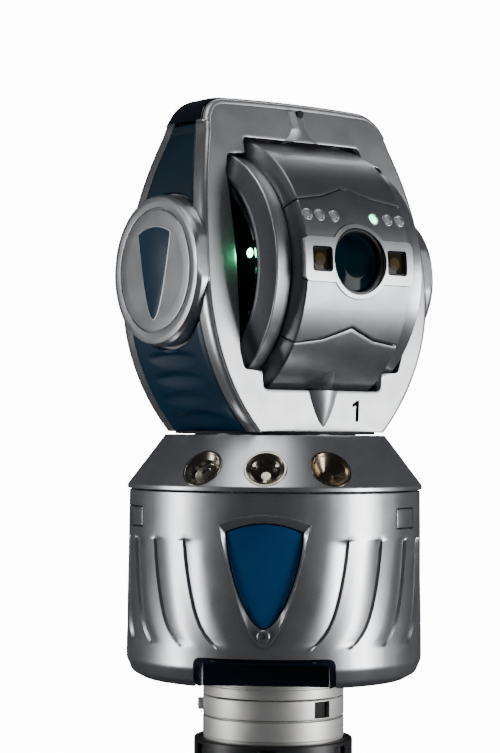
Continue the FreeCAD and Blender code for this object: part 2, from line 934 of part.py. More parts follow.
def drum_room():
    """Space that the drum, its side discs and its sight ridge sweep through."""
    ridge = S.drum_radius + S.ridge_height + S.channel_gap
    channel = S.ridge_half + S.channel_gap * 2
    pieces = []
    for name, radius, half in (
        ("room_drum", S.window_radius, S.window_half),
        ("room_cheeks", S.cheek_radius, S.cheek_half),
        ("room_ridge", ridge, channel),
    ):
        at = (-half, 0, S.axis_height)
        pieces.append(cylinder(name, radius, half * 2, at, "x"))
    return fuse("drum_room", *pieces)


def halfspace(name, axis, sign):
    """A large block on one side of the plane through the turning axis."""
    low = [-FAR, -FAR, -FAR]
    high = [FAR, FAR, FAR * 2]
    if sign > 0:
        low[axis] = 0
    else:
        high[axis] = 0
    return box(name, low, high)


yoke = {}


def yoke_zones():
    """Solids that the yoke's pieces are cut from."""
    yoke["face"] = prism("yoke_face", "xz", front_outline(0), FAR, FAR)
    yoke["skin"] = prism("yoke_skin", "xz", front_outline(S.side_thickness), FAR, FAR)
    yoke["depth"] = prism("yoke_depth", "yz", side_outline(0), FAR, FAR)
    yoke["inner_depth"] = prism("yoke_inner_depth", "yz", side_outline(-S.bezel_thickness), FAR, FAR)
    yoke["panel_depth"] = prism("yoke_panel_depth", "yz", side_outline(-S.strip_width), FAR, FAR)
    yoke["room"] = drum_room()
    yoke["left"] = halfspace("left_half", 0, -1)
    yoke["right"] = halfspace("right_half", 0, 1)
    yoke["front"] = halfspace("front_half", 1, -1)
    yoke["rear"] = halfspace("rear_half", 1, 1)


def bezels():
    """Front and rear face plates, with the drum's window cut through them."""
    block = common("bezel_block", yoke["face"], yoke["depth"])
    front = fuse("bezel_ridged", common("bezel_front_block", block, yoke["front"]), *sight_ridges())
    keep(cut("bezel_front", front, yoke["inner_depth"], yoke["room"]), "front_bezel")
    rear = common("bezel_rear_block", block, yoke["rear"])
    keep(cut("bezel_rear", rear, yoke["inner_depth"], yoke["room"]), "rear_bezel")


def ridge_cone(name, half, height, length, foot, lean):
    """Part of a cone that stands out of a wall as a pointed, half-round ridge.

    Its wide end shows the given half-width and height, and it runs out at its length.
    """
    radius = (half * half + height * height) / (height * 2)
    thing = doc.addObject("Part::Cone", name)
    bind(thing, "Radius1", radius)
    bind(thing, "Radius2", radius - height * 1.1)
    bind(thing, "Height", length * 1.1)
    across, depth, up = foot
    return put(thing, (across, depth + radius - height, up), lean)


def sight_ridges():
    """Upper ridge above the window and lower ridge below it, for aiming by eye."""
    lean = Rotation(Vector(-1, 0, 0), S.sight_lean.value)
    upper_foot = (0, -S.sight_upper_depth, S.sight_upper_foot)
    lower_foot = (0, -S.depth_half, S.sight_lower_foot)
    length = S.sight_upper_length
    upper = ridge_cone("ridge_upper", S.sight_upper_half, S.ridge_height, length, upper_foot, lean)
    down = Rotation(Vector(1, 0, 0), 180)
    length = S.sight_lower_length
    lower = ridge_cone("ridge_lower", S.sight_lower_half, S.ridge_height, length, lower_foot, down)
    slab = box("ridge_floor", (-FAR, -FAR, S.yoke_floor), (FAR, FAR, FAR * 2))
    return [upper, common("ridge_lower_trimmed", lower, slab)]


def castings():
    """Foot, two arms and bridge of the yoke's frame, split where they bolt together."""
    block = common("casting_block", yoke["face"], yoke["inner_depth"])
    bores = []
    for side in (-1, 1):
        along = "x" if side > 0 else "-x"
        at = (0, 0, S.axis_height)
        bores.append(cylinder(f"arm_bore{side + 1}", S.elevation_bearing_radius, FAR, at, along))
        at = (side * S.counterbore_place, 0, S.axis_height)
        bores.append(cylinder(f"arm_counterbore{side + 1}", S.counterbore_radius, FAR, at, along))
    block = cut("casting_bored", block, yoke["room"], *bores)
    foot = box("foot_zone", (-FAR, -FAR, S.yoke_floor), (FAR, FAR, S.base_casting_top))
    arms = box("arm_zone", (-FAR, -FAR, S.base_casting_top), (FAR, FAR, S.bridge_bottom))
    bridge = box("bridge_zone", (-FAR, -FAR, S.bridge_bottom), (FAR, FAR, FAR * 2))
    keep(common("casting_foot", block, foot), "yoke_base")
    keep(common("casting_arm_left", block, arms, yoke["left"]), "yoke_arm_left")
    keep(common("casting_arm_right", block, arms, yoke["right"]), "yoke_arm_right")
    keep(common("casting_bridge", block, bridge), "yoke_bridge")


def top_cap():
    """Dark cap over the bridge, between the two bezels."""
    zone = box("cap_zone", (-FAR, -FAR, S.shoulder_height), (FAR, FAR, FAR * 2))
    shell = cut("top_cap_shell", common("top_cap_block", yoke["skin"], yoke["inner_depth"]), yoke["face"])
    keep(common("top_cap_piece", shell, zone), "top_cap")


def side_covers():
    """Side shells with their round bosses, and the coloured panels let into them."""
    shell = cut("side_shell", common("side_block", yoke["skin"], yoke["depth"]), yoke["face"])
    below_cap = box("side_zone", (-FAR, -FAR, S.yoke_floor), (FAR, FAR, S.shoulder_height))
    ring = S.boss_root_radius + S.boss_arc_gap
    upper = box("upper_zone", (-FAR, -FAR, S.axis_height), (FAR, FAR, S.panel_top))
    lower = box("lower_zone", (-FAR, -FAR, S.yoke_floor), (FAR, FAR, S.axis_height))
    for label, side in (("left", -1), ("right", 1)):
        along = "x" if side > 0 else "-x"
        at = (side * boss_root, 0, S.axis_height)
        boss = cone(
            f"boss_{label}", S.boss_root_radius, S.boss_face_radius, boss_face - boss_root, at, along)
        boss = cut(f"boss_outside_{label}", boss, yoke["face"])
        around = cylinder(f"boss_ring_{label}", ring, FAR, (0, 0, S.axis_height), along)
        half = common(f"side_half_{label}", shell, yoke[label], below_cap)
        region = cut(f"panel_region_{label}", yoke["panel_depth"], around)
        panels = common(f"panels_{label}", half, region)
        bore = cylinder(f"cap_bore_{label}", S.cap_radius, FAR, (0, 0, S.axis_height), along)
        above = common(f"upper_panel_piece_{label}", panels, upper)
        below = common(f"lower_panel_piece_{label}", panels, lower)
        keep(above, f"upper_panel_{label}")
        keep(below, f"lower_panel_{label}")
        whole = fuse(f"side_and_boss_{label}", half, boss)
        keep(cut(f"side_piece_{label}", whole, above, below, bore), f"side_cover_{label}")


def side_caps():
    """Round end caps in the bosses, each with a shield inlay."""
    inlays = []
    for label, side in (("left", -1), ("right", 1)):
        along = "x" if side > 0 else "-x"
        face = boss_face
        near = S.waist_half
        cap = cylinder(f"cap_{label}", S.cap_radius, face - near, (side * near, 0, S.axis_height), along)
        room = cylinder(
            f"cap_room_{label}", S.cap_radius - S.cap_wall, face - near - S.cap_wall,
            (side * near, 0, S.axis_height), along)
        outline = [
            (0, S.axis_height + S.inlay_tip, S.badge_side_arc),
            (S.inlay_half, S.axis_height + S.inlay_corner, S.badge_top_arc),
            (-S.inlay_half, S.axis_height + S.inlay_corner, S.badge_side_arc),
        ]
        deep = face - S.inlay_thickness
        if side > 0:
            inlay = prism(f"inlay_{label}", "yz", outline, face, -deep)
        else:
            inlay = prism(f"inlay_{label}", "yz", outline, -deep, face)
        keep(cut(f"cap_piece_{label}", cap, room, inlay), f"side_cap_{label}")
        inlays.append(inlay)
    keep(fuse("inlay_group", *inlays), "cap_inlays")


# ---------------------------------------------------------------------------- elevation drive


def elevation_drive():
    """Bearings, motor and encoder of the tilting axis; the rotor and disc ride on the drum."""
    inner = S.trunnion_radius + S.running_gap
    outer = S.elevation_bearing_radius
    place = S.elevation_bearing_place
    far = place + S.elevation_bearing_width
    rings = [
        tube("elevation_ring_left", inner, outer, -far, -place, "H_Axis"),
        tube("elevation_ring_right", inner, outer, place, far, "H_Axis"),
    ]
    pair = fuse("elevation_bearing_pair", *rings)
    put(pair, (0, 0, S.axis_height))
    keep(pair, "elevation_bearings")
    rotor = S.trunnion_radius + S.rotor_thickness
    near = S.counterbore_place
    far = near + S.elevation_rotor_width
    stator = tube("tilt_stator", rotor + S.motor_gap, S.counterbore_radius, near, far, "H_Axis")
    put(stator, (0, 0, S.axis_height))
    keep(stator, "elevation_stator")
    keep_on_drum(
        tube("tilt_rotor", S.trunnion_radius, rotor, near, far, "H_Axis"),
        "elevation_rotor",
    )
    shafts = []
    for side in (-1, 1):
        along = "x" if side > 0 else "-x"
        at = (side * S.trunnion_root, 0, 0)
        length = S.trunnion_end - S.trunnion_root
        shafts.append(cylinder(f"shaft_{side + 1}", S.trunnion_radius, length, at, along))
    keep_on_drum(fuse("shaft_pair", *shafts), "trunnions")
    rim = S.trunnion_radius + S.encoder_width * 2
    back = -near - S.encoder_thickness - 1
    disc = tube("tilt_disc", S.trunnion_radius, rim, back, -near - 1, "H_Axis")
    keep_on_drum(disc, "elevation_encoder_disc")


# ---------------------------------------------------------------------------- drum


def drum_band(lift):
    """Ring-shaped wall of the drum with its two turned-in ends, raised by a lift."""
    outer = S.drum_radius + lift
    inner = S.drum_radius - S.drum_wall
    half = S.drum_half
    turn = S.drum_round
    wall = S.drum_wall
    name = "band" if dim(lift).value == 0 else "raised_band"
    return turned(name, [
        (-half, S.drum_lip_inner),
        (-half, S.drum_lip_radius),
        (-half + turn, outer),
        (half - turn, outer),
        (half, S.drum_lip_radius),
        (half, S.drum_lip_inner),
        (half - wall, S.drum_lip_inner),
        (half - turn - wall, inner),
        (-half + turn + wall, inner),
        (-half + wall, S.drum_lip_inner),
    ], "H_Axis")


def brow_zone():
    """Region of the front between the two peaked parting lines."""
    wide = S.drum_half + 2
    kink = S.kink_half
    corners = [
        (-wide, S.chin_end),
        (-kink, S.chin_kink),
        (0, S.chin_peak),
        (kink, S.chin_kink),
        (wide, S.chin_end),
        (wide, S.brow_end),
        (kink, S.brow_kink),
        (0, S.brow_peak),
        (-kink, S.brow_kink),
        (-wide, S.brow_end),
    ]
    return prism("brow_zone", "xz", corners, FAR, 0)


def plate_zone():
    """Lens plate outline: a long lozenge with a round bulge at the lens."""
    corner = (S.plate_half, 0, S.plate_half_height)
    bar = box("plate_bar", (-S.plate_half, -FAR, -S.plate_half_height), corner)
    bulge = cylinder("plate_bulge", S.plate_bulge, FAR, (0, 0, 0), "-y")
    return fuse("plate_zone", bar, bulge)


def camera_blocks(name, near, far, half):
    """Two square blocks side by side of the lens, from near to far along the view."""
    blocks = []
    for side in (-1, 1):
        low = (side * S.camera_place - half, -far, -half)
        high = (side * S.camera_place + half, -near, half)
        blocks.append(box(f"{name}_{side + 1}", low, high))
    return fuse(name, *blocks)


def indicator_posts(name, radius, near, far):
    """Six short posts standing out of the drum, three on each side above the lens."""
    posts = []
    up = S.indicator_angle
    for side in (-1, 1):
        for number, across in enumerate((S.indicator_first, S.indicator_second, S.indicator_third)):
            post = cylinder(f"{name}_{side + 1}_{number}", radius, far - near)
            at = (side * across, -(near * cosine(up)), near * sine(up))
            put(post, at, Rotation(Vector(1, 0, 0), 90 - up.value))
            posts.append(post)
    return fuse(name, *posts)


def drum_covers():
    """Brow, lens plate, upper, lower and rear covers of the drum."""
    band = drum_band(0)
    brow = brow_zone()
    plate = plate_zone()
    front = box("drum_front", (-FAR, -FAR, -FAR), (FAR, 0, FAR))
    rear = box("drum_rear", (-FAR, 0, -FAR), (FAR, FAR, FAR))
    above = box("drum_above", (-FAR, -FAR, 0), (FAR, 0, FAR))
    below = box("drum_below", (-FAR, -FAR, -FAR), (FAR, 0, 0))
    inner = S.drum_radius - S.drum_wall
    lens_hole = cylinder("lens_hole", S.lens_radius + S.lens_ring_wall, FAR, (0, 0, 0), "-y")
    camera_holes = camera_blocks("camera_hole", 0, FAR, S.camera_window_half)
    light_holes = indicator_posts("light_hole", S.indicator_radius, inner - 2, S.drum_radius + 5)
    keep_on_drum(common("cover_rear", band, rear), "drum_cover_rear")
    keep_on_drum(cut("cover_upper", common("cover_upper_block", band, above), brow), "drum_cover_upper")
    lower = cut("cover_lower", common("cover_lower_block", band, below), brow)
    keep_on_drum(fuse("cover_lower_ridged", lower, chin_ridge()), "drum_cover_lower")
    brow_piece = common("brow_block", band, front, brow)
    keep_on_drum(cut("brow_cover_piece", brow_piece, plate, light_holes), "brow_cover")
    raised = common("plate_block", drum_band(S.plate_proud), front, plate)
    keep_on_drum(cut("lens_plate_piece", raised, lens_hole, camera_holes), "lens_plate")


def chin_ridge():
    """Half of the sight ridge, standing on the lower cover below the chin line."""
    reach = S.drum_radius + S.ridge_height
    half = S.ridge_half
    corners = [(-half, -reach), (half, -reach), (half / 2, S.chin_end - 8), (-half / 2, S.chin_end - 8)]
    skin = tube("chin_ridge_skin", S.drum_radius - S.drum_wall, reach, -half, half, "H_Axis")
    return common("chin_ridge", prism("chin_ridge_wedge", "xz", corners, FAR), skin)


def drum_frame():
    """Casting inside the drum that carries the covers, the laser tube and the trunnions."""
    half = S.drum_half
    inner = half - S.drum_flange
    body = turned("frame", [
        (-S.drum_neck_half, 0),
        (-S.drum_neck_half, S.drum_neck_radius),
        (-half, S.drum_neck_radius),
        (-half, S.drum_lip_inner),
        (-inner, S.drum_lip_inner),
        (-inner, S.drum_core_radius),
        (inner, S.drum_core_radius),
        (inner, S.drum_lip_inner),
        (half, S.drum_lip_inner),
        (half, S.drum_neck_radius),
        (S.drum_neck_half, S.drum_neck_radius),
        (S.drum_neck_half, 0),
    ], "H_Axis")
    shafts = []
    for side in (-1, 1):
        along = "x" if side > 0 else "-x"
        at = (side * S.trunnion_root, 0, 0)
        shafts.append(cylinder(f"frame_bore{side + 1}", S.trunnion_radius, FAR, at, along))
    bore = cylinder("frame_tube_bore", S.tube_radius, FAR * 2, (0, FAR, 0), "-y")
    keep_on_drum(cut("frame_bored", body, bore, *shafts), "drum_frame")


def optics():
    """Lens ring and window, laser tube, cameras and indicator lights."""
    front = S.drum_radius + S.plate_proud
    back = S.drum_core_radius + 6
    ring = cylinder("lens_ring_outer", S.lens_radius + S.lens_ring_wall, front - back, (0, -back, 0), "-y")
    seat = cylinder("lens_ring_seat", S.lens_radius, FAR, (0, 0, 0), "-y")
    keep_on_drum(cut("lens_ring_piece", ring, seat), "lens_ring")
    glass_back = front - S.lens_inset - S.lens_thickness
    edge = cylinder("glass_edge", S.lens_radius, S.lens_thickness - 1, (0, -glass_back, 0), "-y")
    crown = cylinder("glass_crown", S.lens_radius - 1, S.lens_thickness, (0, -glass_back, 0), "-y")
    keep_on_drum(fuse("glass", edge, crown), "lens_window")
    core = S.drum_core_radius
    barrel = cylinder("laser_barrel", S.tube_radius, glass_back + core - 6, (0, core - 6, 0), "-y")
    objective = cylinder("laser_objective", S.lens_radius, glass_back - back - 2, (0, -(back + 2), 0), "-y")
    keep_on_drum(fuse("tube", barrel, objective), "laser_tube")
    pane = S.drum_radius - 1
    window = S.camera_window_thickness
    keep_on_drum(camera_blocks("pane", pane - window, pane, S.camera_window_half), "camera_windows")
    half = S.camera_window_half - 1
    cameras = camera_blocks("camera", pane - window - S.camera_length, pane - window, half)
    keep_on_drum(cameras, "camera_modules")
    top = S.drum_radius - 0.5
    lights = indicator_posts("light", S.indicator_radius, top - S.indicator_length, top)
    keep_on_drum(lights, "indicator_lenses")


def side_discs():
    """Dished discs at both ends of the drum, with a light in the dish of each."""
    lights = []
    for label, side in (("left", -1), ("right", 1)):
        floor = S.dish_floor
        profile = [
            (S.drum_neck_half, S.trunnion_radius),
            (S.drum_neck_half, S.disc_back_radius),
            (S.disc_edge, S.disc_radius),
            (S.disc_face, S.disc_face_radius),
            (S.disc_face, S.disc_face_radius - S.disc_rim),
            (floor, S.dish_radius),
            (floor, S.trunnion_radius),
        ]
        corners = [(side * across, radius) for across, radius in profile]
        keep_on_drum(turned(f"disc_{label}", corners, "H_Axis"), f"side_disc_{label}")
        at = (side * floor, -S.side_light_reach, S.side_light_height)
        along = "x" if side > 0 else "-x"
        lights.append(cylinder(f"side_light_{label}", S.side_light_radius, S.side_light_length, at, along))
    keep_on_drum(fuse("side_light_pair", *lights), "side_lights")


# ---------------------------------------------------------------------------- build and write


def check_document():
    """Stop if any object failed or any sub-part has no sound solid."""
    for thing in doc.Objects:
        if "Invalid" in thing.State or "Error" in thing.State:
            raise RuntimeError(f"{thing.Name} ({thing.Label}) is {thing.State}")
    for thing in subparts:
        if thing.Shape.isNull() or not thing.Shape.isValid() or not thing.Shape.Solids:
            raise RuntimeError(f"{thing.Label} has no sound solid")


def main():
    stand_nut()
    mount_adapter()
    lock_ring()
    base_plate()
    base_plate_screws()
    base_housing()
    badge_pieces()
    recess_liner()
    access_covers()
    connector_pieces()
    nests()
    collar_cover()
    azimuth_drive()
    controller_board()
    yoke_zones()
    bezels()
    castings()
    top_cap()
    side_covers()
    side_caps()
    elevation_drive()
    drum_covers()
    drum_frame()
    optics()
    side_discs()
    doc.recompute()
    check_document()
    os.makedirs("parts", exist_ok=True)
    for thing in subparts:
        thing.Shape.exportStep(f"parts/{thing.Label}.step")
        print(thing.Label, len(thing.Shape.Solids), round(thing.Shape.Volume))
    print(len(subparts), "sub-parts written")


main()
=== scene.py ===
"""A laser measuring head on its stand mount: base, lock ring, yoke and tilting drum.

Sizes inside the classes are millimetres in the CAD model's frame, +Z up along the turning axis and
-Y out of the front of the yoke.  Meshes are scaled to metres when a piece is finished.
"""
import json
import logging
import math
from collections.abc import Callable, Sequence
from dataclasses import dataclass, field
from enum import Enum

import bmesh
import bpy
from mathutils import Matrix, Vector

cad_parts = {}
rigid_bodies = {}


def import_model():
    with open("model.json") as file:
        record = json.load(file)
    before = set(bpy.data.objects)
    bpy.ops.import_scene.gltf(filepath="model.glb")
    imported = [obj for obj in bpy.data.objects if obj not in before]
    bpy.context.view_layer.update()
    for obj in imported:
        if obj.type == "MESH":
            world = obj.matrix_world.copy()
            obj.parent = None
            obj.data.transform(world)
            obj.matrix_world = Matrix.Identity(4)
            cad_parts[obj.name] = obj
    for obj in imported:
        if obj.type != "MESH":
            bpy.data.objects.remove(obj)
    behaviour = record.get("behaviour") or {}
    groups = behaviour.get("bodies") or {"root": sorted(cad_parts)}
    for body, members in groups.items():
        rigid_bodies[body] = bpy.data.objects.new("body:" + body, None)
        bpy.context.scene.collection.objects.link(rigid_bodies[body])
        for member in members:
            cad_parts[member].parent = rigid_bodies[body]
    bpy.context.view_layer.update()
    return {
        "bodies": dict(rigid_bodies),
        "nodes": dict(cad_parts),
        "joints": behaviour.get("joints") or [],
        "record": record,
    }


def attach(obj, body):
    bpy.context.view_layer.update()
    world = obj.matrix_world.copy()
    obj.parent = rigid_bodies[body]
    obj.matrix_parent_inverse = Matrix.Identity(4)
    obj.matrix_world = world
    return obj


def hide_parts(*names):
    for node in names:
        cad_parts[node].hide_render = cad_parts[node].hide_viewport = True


LOG = logging.getLogger("laser_head")
MM = 0.001
Point = tuple[float, float]
Corner = tuple[float, float, float]
Mesh = bmesh.types.BMesh
Socket = bpy.types.NodeSocket
Material = bpy.types.Material
Thing = bpy.types.Object


class Body(Enum):
    """The four groups of pieces that move against each other."""

    BASE = "base"
    LOCK = "lock_collar"
    YOKE = "yoke"
    DRUM = "drum"


class Side(Enum):
    """Which end of the elevation axis a piece sits at, as the sign of its X."""

    LEFT = -1
    RIGHT = 1


# ------------------------------------------------------------------------------ node graphs


class Graph:
    """A material's node tree, with short calls for the nodes that the finishes share."""

    def __init__(self, name: str) -> None:
        """Start an empty material with one shader and one output."""
        self.material = bpy.data.materials.new(name)
        self.material.use_nodes = True
        self.tree = self.material.node_tree
        self.tree.nodes.clear()
        self.shader = self.tree.nodes.new("ShaderNodeBsdfPrincipled")
        output = self.tree.nodes.new("ShaderNodeOutputMaterial")
        self.tree.links.new(self.shader.outputs["BSDF"], output.inputs["Surface"])
        self.place = self.tree.nodes.new("ShaderNodeTexCoord").outputs["Object"]

    def mapped(self, scale: tuple[float, float, float]) -> Socket:
        """Stretch the object coordinates.

        Args:
            scale: Factor along each axis.

        Returns:
            The stretched coordinates.
        """
        node = self.tree.nodes.new("ShaderNodeMapping")
        node.inputs["Scale"].default_value = scale
        self.tree.links.new(self.place, node.inputs["Vector"])
        return node.outputs["Vector"]

    def noise(self, scale: float, detail: float = 2.0, where: Socket | None = None) -> Socket:
        """Add a noise pattern.

        Args:
            scale: Cells per metre.
            detail: Octaves.
            where: Coordinates to read, or the plain object coordinates.

        Returns:
            The noise value from 0 to 1.
        """
        node = self.tree.nodes.new("ShaderNodeTexNoise")
        node.inputs["Scale"].default_value = scale
        node.inputs["Detail"].default_value = detail
        self.tree.links.new(where or self.place, node.inputs["Vector"])
        return node.outputs["Fac"]

    def spread(self, value: Socket, low: float, high: float, narrow: float = 0.0) -> Socket:
        """Map a pattern from 0..1 to a range.

        Args:
            value: The pattern.
            low: Result at the pattern's low end.
            high: Result at its high end.
            narrow: How much of each end of the pattern is clipped first.

        Returns:
            The mapped value.
        """
        node = self.tree.nodes.new("ShaderNodeMapRange")
        node.inputs["From Min"].default_value = narrow
        node.inputs["From Max"].default_value = 1.0 - narrow
        node.inputs["To Min"].default_value = low
        node.inputs["To Max"].default_value = high
        self.tree.links.new(value, node.inputs["Value"])
        return node.outputs["Result"]

    def blend_colours(self, value: Socket, first: Corner, second: Corner) -> Socket:
        """Mix two colours by a pattern.

        Args:
            value: Mixing pattern from 0 to 1.
            first: Colour where the pattern is 0.
            second: Colour where it is 1.

        Returns:
            The mixed colour.
        """
        node = self.tree.nodes.new("ShaderNodeMix")
        node.data_type = "RGBA"
        node.inputs["A"].default_value = (*first, 1.0)
        node.inputs["B"].default_value = (*second, 1.0)
        self.tree.links.new(value, node.inputs["Factor"])
        return node.outputs["Result"]

    def emboss(self, value: Socket, depth_mm: float) -> None:
        """Raise a pattern on the surface by a depth in millimetres."""
        node = self.tree.nodes.new("ShaderNodeBump")
        node.inputs["Distance"].default_value = depth_mm * MM
        node.inputs["Strength"].default_value = 1.0
        self.tree.links.new(value, node.inputs["Height"])
        self.tree.links.new(node.outputs["Normal"], self.shader.inputs["Normal"])

    def link(self, value: Socket, socket: str) -> None:
        """Feed a value into one of the shader's sockets."""
        self.tree.links.new(value, self.shader.inputs[socket])

    def tone(self, pattern: Socket, first: Corner, second: Corner, narrow: float) -> None:
        """Colour the surface between two tones by a pattern."""
        self.link(self.blend_colours(self.spread(pattern, 0.0, 1.0, narrow), first, second), "Base Color")

    def gloss(self, pattern: Socket, low: float, high: float, narrow: float) -> None:
        """Vary the roughness between two values by a pattern."""
        self.link(self.spread(pattern, low, high, narrow), "Roughness")

    def fix(self, **sockets: float) -> None:
        """Set plain numbers on the shader, with spaces in socket names written as underscores."""
        for name, value in sockets.items():
            self.shader.inputs[name.replace("_", " ")].default_value = value


@dataclass(frozen=True)
class MetallicPaint:
    """Aluminium-flake paint: a fine grain in colour and gloss under a thin clear coat."""

    name: str
    base: Corner
    flake: Corner
    roughness: float = 0.36
    metallic: float = 0.9
    coat: float = 0.25
    grain_per_metre: float = 2600.0

    def build(self) -> Material:
        """Make the material."""
        graph = Graph(self.name)
        grain = graph.noise(self.grain_per_metre, 3.0)
        mottling = graph.noise(60.0, 2.0)
        graph.tone(grain, self.base, self.flake, 0.3)
        graph.gloss(mottling, self.roughness - 0.03, self.roughness + 0.03, 0.25)
        graph.emboss(grain, 0.012)
        graph.fix(Metallic=self.metallic, Coat_Weight=self.coat, Coat_Roughness=0.12)
        return graph.material


@dataclass(frozen=True)
class TurnedMetal:
    """Lathe-turned metal: fine rings across the part's axis and a soft stain."""

    name: str
    base: Corner
    dark: Corner
    roughness: float = 0.28
    rings_per_metre: float = 5200.0
    axis: str = "z"
    metallic: float = 1.0

    def build(self) -> Material:
        """Make the material."""
        graph = Graph(self.name)
        across = tuple(1.0 if letter == self.axis else 0.012 for letter in "xyz")
        rings = graph.noise(self.rings_per_metre, 4.0, graph.mapped(across))
        stain = graph.noise(38.0, 3.0)
        graph.tone(stain, self.base, self.dark, 0.35)
        graph.gloss(rings, self.roughness - 0.09, self.roughness + 0.12, 0.2)
        graph.emboss(rings, 0.008)
        graph.fix(Metallic=self.metallic)
        return graph.material


@dataclass(frozen=True)
class GlossPlastic:
    """Moulded panel: a smooth coloured body with a coat and very faint orange peel."""

    name: str
    base: Corner
    tint: Corner
    roughness: float = 0.22
    coat: float = 0.6

    def build(self) -> Material:
        """Make the material."""
        graph = Graph(self.name)
        cloud = graph.noise(24.0, 3.0)
        peel = graph.noise(700.0, 2.0)
        graph.tone(cloud, self.base, self.tint, 0.3)
        graph.gloss(peel, self.roughness - 0.03, self.roughness + 0.04, 0.2)
        graph.emboss(peel, 0.002)
        graph.fix(Metallic=0.0, Coat_Weight=self.coat, Coat_Roughness=0.06)
        return graph.material


@dataclass(frozen=True)
class SatinBlack:
    """Anodised or moulded black with a fine even tooth."""

    name: str
    base: Corner = (0.012, 0.012, 0.014)
    tint: Corner = (0.03, 0.03, 0.034)
    roughness: float = 0.42
    metallic: float = 0.0

    def build(self) -> Material:
        """Make the material."""
        graph = Graph(self.name)
        tooth = graph.noise(1800.0, 3.0)
        graph.link(graph.blend_colours(tooth, self.base, self.tint), "Base Color")
        graph.gloss(tooth, self.roughness - 0.06, self.roughness + 0.06, 0.2)
        graph.emboss(tooth, 0.015)
        graph.fix(Metallic=self.metallic)
        return graph.material


@dataclass(frozen=True)
class PolishedSteel:
    """Mirror-polished steel with faint haze; its warm tint is a painted brown reflection."""

    name: str
    base: Corner = (0.42, 0.39, 0.34)
    haze: Corner = (0.28, 0.255, 0.21)
    roughness: float = 0.24

    def build(self) -> Material:
        """Make the material."""
        graph = Graph(self.name)
        haze = graph.noise(140.0, 4.0)
        graph.tone(haze, self.base, self.haze, 0.3)
        graph.gloss(haze, self.roughness - 0.04, self.roughness + 0.08, 0.25)
        graph.fix(Metallic=1.0)
        return graph.material


@dataclass(frozen=True)
class CoatedGlass:
    """Dark optical glass under a thin coloured coating, mottled towards a painted sheen that stands in for
    the coating's reflection.
    """

    name: str
    deep: Corner
    painted_sheen: Corner
    roughness: float = 0.06
    glare: float = 0.07

    def build(self) -> Material:
        """Make the material."""
        graph = Graph(self.name)
        cloud = graph.noise(30.0, 1.0)
        # The second tone is a painted sheen: the coating's coloured reflection laid into the base colour.
        graph.tone(cloud, self.deep, self.painted_sheen, 0.35)
        graph.gloss(cloud, self.roughness, self.roughness + 0.03, 0.2)
        graph.fix(Metallic=0.0, Specular_IOR_Level=self.glare)
        return graph.material


@dataclass(frozen=True)
class GlowingLens:
    """A small moulded lens lit from behind."""

    name: str
    colour: Corner
    strength: float

    def build(self) -> Material:
        """Make the material."""
        graph = Graph(self.name)
        ribs = graph.noise(900.0, 1.0)
        bright = tuple(min(1.0, part + 0.15) for part in self.colour)
        graph.link(graph.blend_colours(ribs, self.colour, bright), "Base Color")
        graph.shader.inputs["Emission Color"].default_value = (*self.colour, 1.0)
        graph.fix(Roughness=0.25, Emission_Strength=self.strength)
        return graph.material


